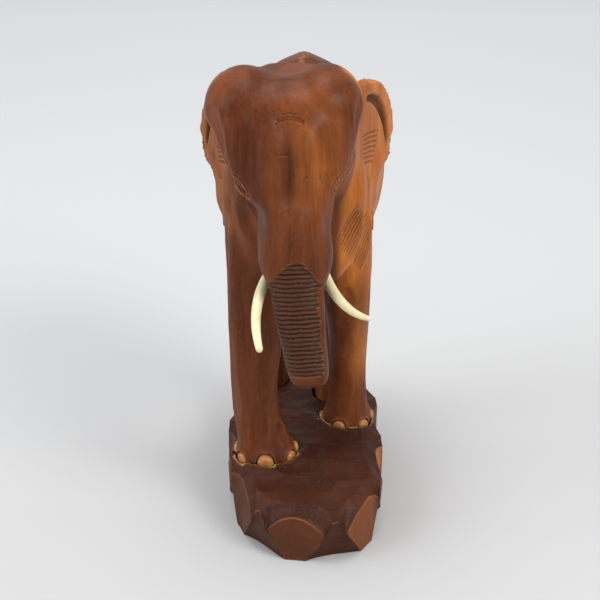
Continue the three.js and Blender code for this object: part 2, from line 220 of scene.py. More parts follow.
def bell(x, y, x0, y0, wide, tall, turn=0.0):
    # a smooth hump about (x0, y0), turned by an angle in degrees
    c, s = math.cos(math.radians(turn)), math.sin(math.radians(turn))
    u, v = (x - x0) * c + (y - y0) * s, (y - y0) * c - (x - x0) * s
    return np.exp(-((u / wide) ** 2) - (v / tall) ** 2)


# The camera stands in front of the elephant, a little above its head, and looks down by 25 degrees.
cameraSetup = {"place": (-0.003, -0.67964, 0.44516), "tilt": 65.0, "lens": 72.18}


def addCamera():
    data = bpy.data.cameras.new("camera")
    data.lens = cameraSetup["lens"]
    data.sensor_width = 36
    data.clip_end = 20
    camera = bpy.data.objects.new("camera", data)
    camera.location = cameraSetup["place"]
    camera.rotation_euler = (math.radians(cameraSetup["tilt"]), 0, 0)
    bpy.context.scene.collection.objects.link(camera)
    bpy.context.scene.camera = camera


addCamera()
print("camera placed")


# Node helpers: a node by its type, and links by socket names.
def addNode(tree, kind, **settings):
    node = tree.nodes.new(kind)
    for key, value in settings.items():
        setattr(node, key, value)
    return node


def mathNode(tree, operation, first, second=None, third=None):
    node = addNode(tree, "ShaderNodeMath", operation=operation)
    for socket, value in zip(node.inputs, (first, second, third)):
        if value is None:
            continue
        if isinstance(value, bpy.types.NodeSocket):
            tree.links.new(value, socket)
        else:
            socket.default_value = value
    return node.outputs[0]


def mixColor(tree, factor, first, second, blend="MIX"):
    node = addNode(tree, "ShaderNodeMix", data_type="RGBA", blend_type=blend)
    for socket, value in ((node.inputs[0], factor), (node.inputs[6], first), (node.inputs[7], second)):
        if isinstance(value, bpy.types.NodeSocket):
            tree.links.new(value, socket)
        else:
            socket.default_value = value
    return node.outputs[2]


def rangeOf(tree, value, low, high, toLow=0.0, toHigh=1.0):
    node = addNode(tree, "ShaderNodeMapRange", clamp=True)
    tree.links.new(value, node.inputs[0])
    for socket, number in zip(list(node.inputs)[1:5], (low, high, toLow, toHigh)):
        socket.default_value = number
    return node.outputs[0]


def scaledCoordinates(tree, vector, scale, turn=(0, 0, 0)):
    node = addNode(tree, "ShaderNodeMapping")
    tree.links.new(vector, node.inputs["Vector"])
    node.inputs["Scale"].default_value = scale
    node.inputs["Rotation"].default_value = [math.radians(a) for a in turn]
    return node.outputs[0]


def noiseAt(tree, vector, scale, detail=3.0, rough=0.55, distort=0.0):
    node = addNode(tree, "ShaderNodeTexNoise")
    tree.links.new(vector, node.inputs["Vector"])
    node.inputs["Scale"].default_value = scale
    node.inputs["Detail"].default_value = detail
    node.inputs["Roughness"].default_value = rough
    node.inputs["Distortion"].default_value = distort
    return node.outputs["Fac"]


def newGroup(name, inputs, outputs):
    group = bpy.data.node_groups.new(name, "ShaderNodeTree")
    for label, kind, value in inputs:
        socket = group.interface.new_socket(label, in_out="INPUT", socket_type=kind)
        if value is not None:
            socket.default_value = value
    for label, kind in outputs:
        group.interface.new_socket(label, in_out="OUTPUT", socket_type=kind)
    return group, group.nodes.new("NodeGroupInput"), group.nodes.new("NodeGroupOutput")


# Wood grain: long streaks along Z over broad blotches, short dark pores, and a fine unevenness.
def buildGrain():
    group, given, made = newGroup(
        "carvedGrain",
        [("Vector", "NodeSocketVector", None)],
        [("Streak", "NodeSocketFloat"), ("Band", "NodeSocketFloat"),
         ("Pore", "NodeSocketFloat"), ("Height", "NodeSocketFloat")],
    )
    vector = given.outputs["Vector"]
    wander = noiseAt(group, scaledCoordinates(group, vector, (1, 1, 0.5)), 22, 2)
    shift = mathNode(group, "MULTIPLY", wander, 0.02)
    push = addNode(group, "ShaderNodeCombineXYZ")
    group.links.new(shift, push.inputs[0])
    group.links.new(shift, push.inputs[1])
    moved = addNode(group, "ShaderNodeVectorMath", operation="ADD")
    group.links.new(vector, moved.inputs[0])
    group.links.new(push.outputs[0], moved.inputs[1])
    along = moved.outputs[0]
    streak = noiseAt(group, scaledCoordinates(group, along, (1, 1, 0.055)), 520, 5, 0.62)
    band = noiseAt(group, scaledCoordinates(group, along, (1, 1, 0.22)), 44, 4, 0.55, 0.5)
    dash = noiseAt(group, scaledCoordinates(group, along, (1, 1, 0.09)), 1500, 2, 0.4)
    pore = rangeOf(group, dash, 0.34, 0.27)
    speck = noiseAt(group, vector, 900, 3, 0.6)
    rise = mathNode(group, "MULTIPLY_ADD", streak, 0.55, mathNode(group, "MULTIPLY", speck, 0.3))
    height = mathNode(group, "SUBTRACT", rise, mathNode(group, "MULTIPLY", pore, 0.35))
    group.links.new(rangeOf(group, streak, 0.34, 0.68), made.inputs["Streak"])
    group.links.new(rangeOf(group, band, 0.36, 0.66), made.inputs["Band"])
    group.links.new(pore, made.inputs["Pore"])
    group.links.new(height, made.inputs["Height"])
    return group


# Handling: smooth patches where fingers rub and duller ones between, with a little dust in the hollows.
def buildHandling():
    group, given, made = newGroup(
        "handling",
        [("Vector", "NodeSocketVector", None), ("Hollow", "NodeSocketFloat", 0.0)],
        [("Polish", "NodeSocketFloat"), ("Dust", "NodeSocketFloat")],
    )
    vector = given.outputs["Vector"]
    polish = rangeOf(group, noiseAt(group, vector, 34, 4, 0.6), 0.35, 0.68)
    specks = rangeOf(group, noiseAt(group, vector, 420, 4, 0.65), 0.52, 0.7)
    dust = mathNode(group, "MULTIPLY", specks, given.outputs["Hollow"])
    group.links.new(polish, made.inputs["Polish"])
    group.links.new(dust, made.inputs["Dust"])
    return group


grainGroup = buildGrain()
handlingGroup = buildHandling()


def groupNode(tree, group, **links):
    node = addNode(tree, "ShaderNodeGroup", node_tree=group)
    for name, value in links.items():
        if isinstance(value, bpy.types.NodeSocket):
            tree.links.new(value, node.inputs[name])
        else:
            node.inputs[name].default_value = value
    return node


def objectCoordinates(tree, turn=(0, 0, 0)):
    coordinates = addNode(tree, "ShaderNodeTexCoord")
    return scaledCoordinates(tree, coordinates.outputs["Object"], (1, 1, 1), turn)


def newMaterial(name, **values):
    # an empty material with its shader, and the values that are the same all over
    material = bpy.data.materials.new(name)
    material.use_nodes = True
    tree = material.node_tree
    shader = tree.nodes["Principled BSDF"]
    for key, value in values.items():
        shader.inputs[key].default_value = value
    return material, tree, shader


def bumpInto(tree, shader, height, distance, strength=1.0):
    bump = addNode(tree, "ShaderNodeBump")
    bump.inputs["Strength"].default_value = strength
    bump.inputs["Distance"].default_value = distance
    tree.links.new(height, bump.inputs["Height"])
    tree.links.new(bump.outputs[0], shader.inputs["Normal"])


figureFinish = {
    "red": (128, 66, 28),
    "redDark": (76, 32, 11),
    "ochre": (204, 122, 48),
    "ochreDark": (146, 76, 24),
    "ridge": (60, 34, 22),
    "lip": (112, 44, 24),
    # hollow: the colour of painted shade in cuts, sockets and under the head, and of dark wax in creases
    "hollow": (30, 14, 8),
    "worn": (168, 110, 72),
    "coat": 0.04,
    "coatRoughness": 0.3,
    "specular": 0.15,
    "grainDepth": 0.00016,
}


def makeFigureWood():
    # waxed red-brown wood: "tone" holds hollow (painted shade, with dark wax in cuts and creases), worn
    # edge, ridged skin and ochre (yellower wood, stronger on the lit side as painted light) masks
    look = figureFinish
    material, tree, shader = newMaterial(
        "waxedWood", **{"Coat Weight": look["coat"], "Coat Roughness": look["coatRoughness"],
                        "Specular IOR Level": look["specular"]})
    vector = objectCoordinates(tree, (0, 2, 0))
    grain = groupNode(tree, grainGroup, Vector=vector)
    masks = addNode(tree, "ShaderNodeAttribute", attribute_name="tone")
    parts = addNode(tree, "ShaderNodeSeparateColor")
    tree.links.new(masks.outputs["Color"], parts.inputs[0])
    hollow, worn, ridged = parts.outputs[0], parts.outputs[1], parts.outputs[2]
    ochre = masks.outputs["Alpha"]
    handled = groupNode(tree, handlingGroup, Vector=vector, Hollow=hollow)
    mixing = mathNode(tree, "MULTIPLY_ADD", grain.outputs["Band"], 0.72,
                      mathNode(tree, "MULTIPLY", grain.outputs["Streak"], 0.28))
    red = mixColor(tree, mixing, linear(*look["redDark"]), linear(*look["red"]))
    yellow = mixColor(tree, mixing, linear(*look["ochreDark"]), linear(*look["ochre"]))
    color = mixColor(tree, ochre, red, yellow)
    color = mixColor(tree, ridged, color, linear(*look["ridge"]))
    color = mixColor(tree, mathNode(tree, "MULTIPLY", worn, 0.6), color, linear(*look["worn"]))
    # painted shade, with dark wax in the cuts and creases
    color = mixColor(tree, mathNode(tree, "MULTIPLY", hollow, 0.82), color, linear(*look["hollow"]))
    color = mixColor(tree, mathNode(tree, "MULTIPLY", grain.outputs["Pore"], 0.55),
                     color, linear(*look["redDark"]))
    color = mixColor(tree, mathNode(tree, "MULTIPLY", handled.outputs["Dust"], 0.25),
                     color, linear(150, 120, 95))
    tree.links.new(color, shader.inputs["Base Color"])
    rough = rangeOf(tree, handled.outputs["Polish"], 0, 1, 0.52, 0.38)
    rough = mathNode(tree, "ADD", rough, mathNode(tree, "MULTIPLY", hollow, 0.25))
    tree.links.new(rough, shader.inputs["Roughness"])
    bumpInto(tree, shader, grain.outputs["Height"], look["grainDepth"], 0.6)
    return material


plinthFinish = {
    "brown": (84, 42, 24),
    "brownDark": (50, 25, 15),
    "fresh": (168, 98, 52),
    "chip": (205, 158, 104),
    # hollow: the colour of painted shade in the seats, round the feet and in creases, and of darker gouge
    # scoops
    "hollow": (24, 12, 8),
    "coat": 0.05,
    "coatRoughness": 0.4,
    "specular": 0.15,
    "grainDepth": 0.00024,
}


def makePlinthWood():
    # stained wood: "tone" holds hollow (painted shade in the seats, round the feet and in creases, with
    # darker gouge scoops), worn edge, fresh cut and chipped rim masks
    look = plinthFinish
    material, tree, shader = newMaterial(
        "stainedWood", **{"Coat Weight": look["coat"], "Coat Roughness": look["coatRoughness"],
                          "Specular IOR Level": look["specular"]})
    vector = objectCoordinates(tree, (0, 84, 8))
    grain = groupNode(tree, grainGroup, Vector=vector)
    masks = addNode(tree, "ShaderNodeAttribute", attribute_name="tone")
    parts = addNode(tree, "ShaderNodeSeparateColor")
    tree.links.new(masks.outputs["Color"], parts.inputs[0])
    hollow, worn, fresh = parts.outputs[0], parts.outputs[1], parts.outputs[2]
    chip = masks.outputs["Alpha"]
    handled = groupNode(tree, handlingGroup, Vector=vector, Hollow=hollow)
    mixing = mathNode(tree, "MULTIPLY_ADD", grain.outputs["Band"], 0.5,
                      mathNode(tree, "MULTIPLY", grain.outputs["Streak"], 0.5))
    color = mixColor(tree, mixing, linear(*look["brownDark"]), linear(*look["brown"]))
    color = mixColor(tree, fresh, color, linear(*look["fresh"]))
    color = mixColor(tree, mathNode(tree, "MULTIPLY", worn, 0.5), color, linear(*look["fresh"]))
    color = mixColor(tree, chip, color, linear(*look["chip"]))
    # painted shade, and darker gouge scoops
    color = mixColor(tree, mathNode(tree, "MULTIPLY", hollow, 0.75), color, linear(*look["hollow"]))
    color = mixColor(tree, mathNode(tree, "MULTIPLY", grain.outputs["Pore"], 0.5),
                     color, linear(*look["brownDark"]))
    color = mixColor(tree, mathNode(tree, "MULTIPLY", handled.outputs["Dust"], 0.3),
                     color, linear(150, 120, 95))
    tree.links.new(color, shader.inputs["Base Color"])
    tree.links.new(rangeOf(tree, handled.outputs["Polish"], 0, 1, 0.6, 0.44), shader.inputs["Roughness"])
    bumpInto(tree, shader, grain.outputs["Height"], look["grainDepth"], 0.7)
    return material


def makePaleWood(name, light, dark, roughness, turn):
    # unstained wood of the nails and dowels: grain streaks with a darker rim of old wax in their pores
    material, tree, shader = newMaterial(name, **{"Coat Weight": 0.12, "Coat Roughness": 0.35})
    vector = objectCoordinates(tree, turn)
    grain = groupNode(tree, grainGroup, Vector=vector)
    handled = groupNode(tree, handlingGroup, Vector=vector, Hollow=0.35)
    mixing = mathNode(tree, "MULTIPLY_ADD", grain.outputs["Band"], 0.6,
                      mathNode(tree, "MULTIPLY", grain.outputs["Streak"], 0.4))
    color = mixColor(tree, mixing, linear(*dark), linear(*light))
    color = mixColor(tree, mathNode(tree, "MULTIPLY", grain.outputs["Pore"], 0.6), color, linear(*dark))
    color = mixColor(tree, handled.outputs["Dust"], color, linear(*dark))
    tree.links.new(color, shader.inputs["Base Color"])
    tree.links.new(rangeOf(tree, handled.outputs["Polish"], 0, 1, roughness + 0.1, roughness - 0.08),
                   shader.inputs["Roughness"])
    bumpInto(tree, shader, grain.outputs["Height"], 0.0002, 0.6)
    return material


tuskFinish = {"pale": (238, 232, 190), "deep": (216, 204, 150), "coat": 0.5, "coatRoughness": 0.12}


def makeTuskResin():
    # cast cream resin: cloudy, a little yellower in bands along it, and glossy
    look = tuskFinish
    material, tree, shader = newMaterial("castResin", **{
        "Coat Weight": look["coat"], "Coat Roughness": look["coatRoughness"],
        "Subsurface Weight": 0.12, "Subsurface Scale": 0.002,
    })
    vector = objectCoordinates(tree)
    cloud = rangeOf(tree, noiseAt(tree, vector, 90, 4, 0.6, 0.6), 0.35, 0.7)
    fine = noiseAt(tree, vector, 1200, 3, 0.5)
    handled = groupNode(tree, handlingGroup, Vector=vector, Hollow=0.2)
    color = mixColor(tree, cloud, linear(*look["pale"]), linear(*look["deep"]))
    color = mixColor(tree, mathNode(tree, "MULTIPLY", handled.outputs["Dust"], 0.5),
                     color, linear(190, 172, 120))
    tree.links.new(color, shader.inputs["Base Color"])
    tree.links.new(rangeOf(tree, handled.outputs["Polish"], 0, 1, 0.34, 0.22), shader.inputs["Roughness"])
    bumpInto(tree, shader, fine, 0.00006, 0.5)
    return material


figureWood = makeFigureWood()
plinthWood = makePlinthWood()
nailWood = makePaleWood("nailWood", (205, 140, 78), (128, 74, 34), 0.46, (20, 70, 0))
dowelWood = makePaleWood("dowelWood", (208, 172, 120), (160, 118, 70), 0.7, (0, 0, 0))
tuskResin = makeTuskResin()
print("materials made")


# Places that the pieces share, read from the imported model.
figureLow, figureHigh = boxOf("figure")
plinthLow, plinthHigh = boxOf("plinth")
footNames = ["fore_right", "fore_left", "hind_left", "hind_right"]
footMiddle = {name: middleOf("dowel_" + name) for name in footNames}
crownZ, footZ = figureHigh[2], figureLow[2]
deckZ = plinthHigh[2]
bellyZ = crownZ - 144.9
foreY = (footMiddle["fore_right"][1] + footMiddle["fore_left"][1]) / 2
hindY = (footMiddle["hind_left"][1] + footMiddle["hind_right"][1]) / 2
faceY = footMiddle["fore_right"][1] - 19
nailNames = sorted(name for name in frame["nodes"] if name.startswith("nail_"))


def footOf(nodeName):
    return next(name for name in footNames if name in nodeName)


def nailPlace(nodeName):
    # middle of the nail's face side, the way it looks out, and its radius
    low, high = boxOf(nodeName)
    middle = (low + high) / 2
    out = middle - footMiddle[footOf(nodeName)]
    size = footSizes[footOf(nodeName)]
    out = np.array([out[0] / size["half"], out[1] / size["reach"], 0])
    return middle, out / np.linalg.norm(out), (high[2] - low[2]) / 2


footSizes = {
    "fore_right": {"half": 18.8, "reach": 16.8, "shinX": -30.5, "shin": 14.8,
                   "topX": -28, "topHalf": 21.2, "topReach": 22, "topHeight": 58},
    "fore_left": {"half": 16, "reach": 15.8, "shinX": 27.6, "shin": 12.2,
                  "topX": 21.5, "topHalf": 19.5, "topReach": 21, "topHeight": 50},
    "hind_left": {"half": 15.5, "reach": 15.5, "shinX": 24, "shin": 12.8,
                  "topX": 21, "topHalf": 22, "topReach": 27, "topHeight": 62},
    "hind_right": {"half": 16, "reach": 16, "shinX": -27, "shin": 13.2,
                   "topX": -21, "topHalf": 22, "topReach": 27, "topHeight": 62},
}


def uprightLoft(rows, cols=72, steps=110):
    # station: height, x, y, half width, reach forward, reach back, squareness of the section
    z, x, y, half, front, back, square = stationsAt(rows, np.linspace(0, 1, steps)).T[..., None]
    turn = np.linspace(0, 2 * np.pi, cols, endpoint=False)
    cos, sin = np.cos(turn), np.sin(turn)
    reach = np.where(sin < 0, front, back)
    px = x + half * power(cos, 2 / square)
    py = y + reach * power(sin, 2 / square)
    return shell(np.stack([px, py, np.broadcast_to(z, px.shape)], -1))


def legLoft(name):
    # a round foot under a narrower shin, opening out into the shoulder or the thigh
    size, (x, y, _) = footSizes[name], footMiddle[name]
    seatZ, rise = footZ - 0.3, bellyZ - footZ + 0.3
    hub = foreY if name.startswith("fore") else hindY

    def mix(a, b, t):
        return a + (b - a) * t

    rows = [
        [footZ, x, y, size["half"] - 0.8, size["reach"] - 0.8],
        [seatZ + 0.03 * rise, x, y, size["half"] + 0.2, size["reach"] + 0.2],
        [seatZ + 0.08 * rise, x, y, size["half"] + 0.1, size["reach"]],
        [seatZ + 0.15 * rise, mix(x, size["shinX"], 0.3), y, mix(size["shin"], size["half"], 0.5), 14.8],
        [seatZ + 0.23 * rise, mix(x, size["shinX"], 0.65), y, size["shin"] + 0.8, 13.6],
        [seatZ + 0.42 * rise, size["shinX"], mix(y, hub, 0.08), size["shin"], 13.5],
        [seatZ + 0.64 * rise, size["shinX"], mix(y, hub, 0.2), size["shin"] + 0.8, 15.5],
    ]
    for z, inward, back, widen, reach in [
        [seatZ + 0.9 * rise, 0.3, 0.45, 0.4, 18],
        [bellyZ + size["topHeight"] / 2, 0.7, 0.75, 0.8, 21],
        [bellyZ + size["topHeight"], 1, 1, 1, size["topReach"]],
    ]:
        rows.append([z, mix(size["shinX"], size["topX"], inward), mix(y, hub, back),
                     mix(size["shin"], size["topHalf"], widen), reach])
    return uprightLoft([[*row, row[-1], 2.5] for row in rows])


def torsoLoft():
    # barrel from chest to rump: sections are squared ovals whose upper half rises to a soft roof ridge
    start, height = foreY - 40, 136
    length = hindY + 37 - start
    rows = [  # share of the length, x, half width, underside, top
        [0, -3, 14, 0.28, 0.62], [0.05, -3, 30, 0.12, 0.8], [0.18, -3, 39.5, 0.03, 0.93],
        [0.32, -2, 43.5, 0, 1.0], [0.44, -1, 47, 0, 1.018], [0.6, -0.5, 50.5, 0, 0.975],
        [0.75, 0, 49, 0.02, 0.91], [0.88, 0, 41.5, 0.08, 0.815], [0.96, 0, 28, 0.18, 0.7],
        [1, 0, 13, 0.32, 0.54],
    ]
    ridge = 0.26
    share, x, half, under, top = stationsAt(rows, np.linspace(0, 1, 120)).T[..., None]
    turn = np.linspace(0, 2 * np.pi, 128, endpoint=False)
    side, up = power(np.cos(turn), 2 / 2.4), power(np.sin(turn), 2 / 2.4)
    middle = (under + top) / 2
    roof = ridge * np.maximum(0, 1 - np.abs(side))
    above = (top - middle) * ((1 - ridge) * np.abs(up) + roof)
    lift = np.where(up > 0, above, (under - middle) * np.abs(up))
    px = x + half * side
    return shell(np.stack([px, np.broadcast_to(start + length * share, px.shape),
                           bellyZ + height * (middle + lift)], -1))


headRows = [  # drop below the crown, x, depth behind the face, half width, front, back, squareness
    [175.5, 2.2, -27, 9, 7, 7, 2.6],
    [173, 2.2, -27, 10.8, 9.5, 9, 2.6],
    [167, 1.5, -27, 12, 11, 10.5, 2.6],
    [154, -0.5, -27, 13, 12, 11.5, 2.6],
    [127, -3.8, -26, 14.8, 13, 14, 2.6],
    [117, -4.8, -25, 15.5, 14, 16, 2.5],
    [111, -5.1, -23, 17.6, 16, 18, 2.4],
    [102.5, -5.4, -20, 20.8, 19, 24, 2.3],
    [96, -5.5, -18, 21, 21, 26, 2.3],
    [87, -6.3, -12, 20.5, 26, 30, 2.2],
    [74, -6, -6, 22, 30, 34, 2.2],
    [64, -9.8, -2, 27.5, 31, 38, 2.3],
    [56, -9.3, 0, 31.8, 31, 42, 2.4],
    [44, -10, 3, 37, 32, 44, 2.5],
    [32, -10.8, 6, 40.4, 33, 44, 2.5],
    [22, -11.3, 8, 42, 31, 40, 2.5],
    [12, -11, 10, 36, 25, 32, 2.4],
    [5, -11, 12, 25, 16, 22, 2.2],
]


def headLoft():
    rows = [[crownZ - drop, x, faceY + depth, *rest] for drop, x, depth, *rest in headRows]
    return uprightLoft(rows, 96, 180)


def ellipsoid(x, y, z, rx, ry, rz):
    # a ball stretched along its three axes
    up = np.linspace(-1.5, 1.5, 40)[:, None]
    turn = np.linspace(0, 2 * np.pi, 64, endpoint=False)
    return shell(np.stack([
        x + rx * np.cos(up) * np.cos(turn),
        y + ry * np.cos(up) * np.sin(turn),
        z + rz * np.sin(up) + 0 * turn,
    ], -1))


# Each ear hangs from its root along a plane that flares out from the body. Its outline is in that
# plane: distance back from the root, and height above it.
ears = {
    "left": {"x": 27, "drop": 24, "side": 1, "size": 1.05},
    "right": {"x": -38.5, "drop": 27, "side": -1, "size": 0.96},
    "flare": 24, "thickness": 6.8,
    "outline": [(0, -8), (5, 5), (12, 9.5), (20, 8.4), (31, 5), (40, -0.5), (48, -8.5), (53, -17), (57, -29),
                (57.4, -37), (54.2, -43.6), (47.5, -46.4), (40, -48), (34.5, -51), (32, -58), (31, -66),
                (25.5, -71.5), (18, -70.5), (12, -66), (5, -52), (1.5, -30)],
    "groove": [(12, -0.5), (21, -2.5), (29, -6.5), (36, -13), (41.5, -21), (45, -31), (46.4, -42)],
    "grooveHalf": [2.2, 3.2, 4.0, 4.0, 3.2, 1.9, 0.5],
}


def earFrame(ear):
    # origin, the way back along the ear, and the way its outer face looks
    a = math.radians(90 - ear["side"] * ears["flare"])
    origin = np.array([ear["x"], foreY - 22, crownZ - ear["drop"]])
    back = np.array([math.cos(a), math.sin(a), 0])
    out = np.array([math.sin(a), -math.cos(a), 0]) * ear["side"]
    return origin, back, out


def closedCurve(points, count):
    # a smooth closed curve through the points
    p = np.array(points, float)
    t = np.linspace(0, len(p), count, endpoint=False)
    i = t.astype(int)
    u = (t - i)[:, None]
    a, b, c, d = (p[(i + k) % len(p)] for k in (-1, 0, 1, 2))
    return b + 0.5 * u * (c - a + u * (2 * a - 5 * b + 4 * c - d + u * (3 * (b - c) + d - a)))


def earShell(ear):
    # the outline drawn in to its middle on both faces, with a rounded rim between them
    origin, back, out = earFrame(ear)
    outline = closedCurve(ears["outline"], 160) * ear["size"]
    middle = outline.mean(0)
    turn = np.linspace(-0.97, 0.97, 60)[:, None]
    inward = 1 - np.abs(turn)
    share = np.minimum(1, 1.02 * (1 - (1 - inward) ** 5))
    depth = np.sign(turn) * ears["thickness"] / 2 * np.minimum(1, np.abs(turn) * 9) ** 0.6
    s = middle[0] + share * (outline[:, 0] - middle[0])
    h = middle[1] + share * (outline[:, 1] - middle[1])
    flat = origin + s[..., None] * back + depth[..., None] * out
    flat[..., 2] += h
    return shell(flat)


def tailLoft():
    def behind(depth):
        return hindY + depth
    rows = [
        [bellyZ - 34, -15, behind(26), 4, 4, 4, 2], [bellyZ - 28, -14.6, behind(27), 5.4, 6, 4.6, 2],
        [bellyZ - 20, -14, behind(27.5), 5, 6, 4.4, 2], [bellyZ, -10, behind(30), 3.6, 6, 4, 2],
        [bellyZ + 40, -3, behind(35.5), 4.2, 8, 4.2, 2], [bellyZ + 70, 0, behind(34.5), 5.2, 8, 5, 2],
        [bellyZ + 88, 0, behind(29), 5.5, 8, 5, 2],
    ]
    return uprightLoft(rows, 40, 80)


tuskJoints = {joint["child"]: joint for joint in frame["record"]["behaviour"]["joints"]}
tuskSides = {"tusk_right": (0.77, -0.13, -0.62), "tusk_left": (0.49, -0.3, 0.82)}
tuskShape = {
    "radius": 3.1, "tip": {"tusk_right": 1.9, "tusk_left": 1.3},
    "peg": 10, "straight": 6, "length": 57, "bend": 46,
    "sheath": 6.5, "lip": 1, "relief": 4.6, "clear": 0.45,
}


def tuskSocket(name):
    # middle of the socket's mouth, and the way the tusk leaves it
    joint = tuskJoints[name]
    axis = np.array(joint["axis"], float)
    return np.array(joint["pos_m"]) / mm, axis / np.linalg.norm(axis)


def sheathRod(name):
    # the round swelling of wood about a tusk's root
    mouth, axis = tuskSocket(name)
    side = np.cross(axis, [0, 0, 1.0])
    side /= np.linalg.norm(side)
    over = np.cross(side, axis)
    turn = np.linspace(0, 2 * np.pi, 48, endpoint=False)
    t = np.linspace(0, 1, 20)[:, None]
    along = tuskShape["lip"] - t * (tuskShape["peg"] + 6)
    radius = tuskShape["sheath"] * np.sqrt(np.clip(1 - (2 * np.abs(t - 0.55)) ** 6, 0.25, 1))
    grid = mouth + along[..., None] * axis + (radius * np.cos(turn))[..., None] * side
    return shell(grid + (radius * np.sin(turn))[..., None] * over)


nailShape = {"pocket": 3.0, "proud": 2.5, "clear": 0.45, "sunk": 2.9, "bulge": 0.7}
figureBuild = {"voxel": 1.75, "relax": 3}


def joinMembers(members):
    # the overlapping shells become one skin of even quads
    offset, points, quads, tris = 0, [], [], []
    for p, q, t in members:
        points.append(p)
        quads.append(q + offset)
        tris.append(t + offset)
        offset += len(p)
    rough = objectFrom("members", meshFrom("members", np.concatenate(points),
                                           np.concatenate(quads), np.concatenate(tris)))
    remesh = rough.modifiers.new("skin", "REMESH")
    remesh.mode = "VOXEL"
    remesh.voxel_size = figureBuild["voxel"] * mm
    bpy.context.view_layer.update()
    evaluated = rough.evaluated_get(bpy.context.evaluated_depsgraph_get())
    skin = bpy.data.meshes.new_from_object(evaluated)
    bpy.data.objects.remove(rough)
    return skin


def splitFaces(mesh, chosen):
    # halves every edge whose two ends are both chosen
    form = bmesh.new()
    form.from_mesh(mesh)
    form.verts.ensure_lookup_table()
    edges = [e for e in form.edges if chosen[e.verts[0].index] and chosen[e.verts[1].index]]
    bmesh.ops.subdivide_edges(form, edges=edges, cuts=1, use_grid_fill=True)
    form.to_mesh(mesh)
    form.free()
    mesh.update()


def earPlane(points, side):
    # distance back along an ear, height on it, and distance out from its middle plane
    ear = ears[side]
    origin, back, out = earFrame(ear)
    away = points - origin
    return away @ back / ear["size"], away[:, 2] / ear["size"], away @ out


def finerZones(points):
    # how many times each vertex's faces are halved: ridged trunk, sockets and nails most, then face and ears
    x, y, z = points.T
    once = (y < faceY + 12) & (z > crownZ - 178)
    once |= (y < foreY) & (z > crownZ - 110) & (z < crownZ - 45)
    for side in ("left", "right"):
        s, h, out = earPlane(points, side)
        once |= (s > -6) & (s < 64) & (h > -80) & (h < 14) & (out > -1.5) & (out < 9)
    once |= (x > 12) & (y > -50) & (y < 26) & (z > 152) & (z < 212)
    ridges = (y < faceY - 10) & (z > 114) & (z < 196)
    fine = np.zeros(len(points), bool)
    for name in nailNames:
        middle, out, radius = nailPlace(name)
        fine |= np.linalg.norm(points - middle, axis=1) < radius + 4
    for name in tuskJoints:
        mouth = tuskSocket(name)[0]
        fine |= np.linalg.norm(points - mouth, axis=1) < 12
    return once | ridges | fine, ridges | fine


trunkRidges = {"top": 191.5, "foot": 119, "pitch": 2.72, "depth": 1.15, "bow": 1.3, "rightEdge": 0.8}


def trunkAcross(points):
    # place across the trunk from -1 at its right edge to 1 at its left one
    rows = np.array(headRows)
    key, order = crownZ - rows[:, 0], np.argsort(crownZ - rows[:, 0])
    middle = np.interp(points[:, 2], key[order], rows[order, 1])
    half = np.interp(points[:, 2], key[order], rows[order, 3])
    return (points[:, 0] - middle) / half


def ridgeCut(points, normals):
    # rings of shallow grooves down the front of the trunk, starting as a triangle between the tusks
    shape = trunkRidges
    x, y, z = points.T
    across = trunkAcross(points)
    phase = (z + shape["bow"] * across**2 - 0.8 * across) / shape["pitch"]
    ring = np.floor(phase).astype(int)
    dice = np.random.default_rng(5).uniform(-1, 1, (200, 3))
    wobble = dice[ring % 200]
    phase = phase + 0.07 * np.sin(x * 0.55 + 9 * wobble[:, 0])
    within = phase - np.floor(phase)
    reach = np.interp(z, [112, 170, 178, 186, 192], [1.35, 1.3, 0.72, 0.42, 0.0])
    left = ease((reach * 1.05 + across + 0.05 * wobble[:, 1]) / 0.14)
    right = ease((np.minimum(reach, shape["rightEdge"]) - across + 0.07 * wobble[:, 2]) / 0.1)
    ends = ease((z - shape["foot"]) / 2.5) * ease((shape["top"] + 1 - z) / 2)
    facing = ease((0.45 - normals[:, 1]) / 0.4) * (y < faceY - 8)
    zone = left * right * ends * facing
    groove = np.exp(-(((within - 0.5) / 0.17) ** 2))
    return zone, groove * (1 + 0.25 * wobble[:, 0])


def planeFrame(points, normals, origin, looking, depth):
    # local sideways and upward place on a plane that looks out along a level direction, and who faces it
    look = np.array(looking, float)
    look /= np.linalg.norm(look)
    side = np.array([-look[1], look[0], 0])
    away = points - np.array(origin, float)
    near = (np.abs(away @ look) < depth) & (normals @ look > 0.15)
    return np.stack([away @ side, away[:, 2]], -1), near


def arcStrokes(cx, cy, wide, tall, fromAngle, toAngle, count):
    # a piece of an oval as short strokes
    a = np.radians(np.linspace(fromAngle, toAngle, count + 1))
    p = np.stack([cx + wide * np.cos(a), cy + tall * np.sin(a)], -1)
    return np.concatenate([p[:-1], p[1:]], 1)


eyes = {
    "left": {"place": (17.5, -61, 227), "looking": (0.62, -0.78, 0), "lean": -1, "tilt": 50},
    "right": {"place": (-33, -61, 224.5), "looking": (-0.62, -0.78, 0), "lean": 1, "tilt": 43},
    "wide": 5.4, "tall": 2.5,
}


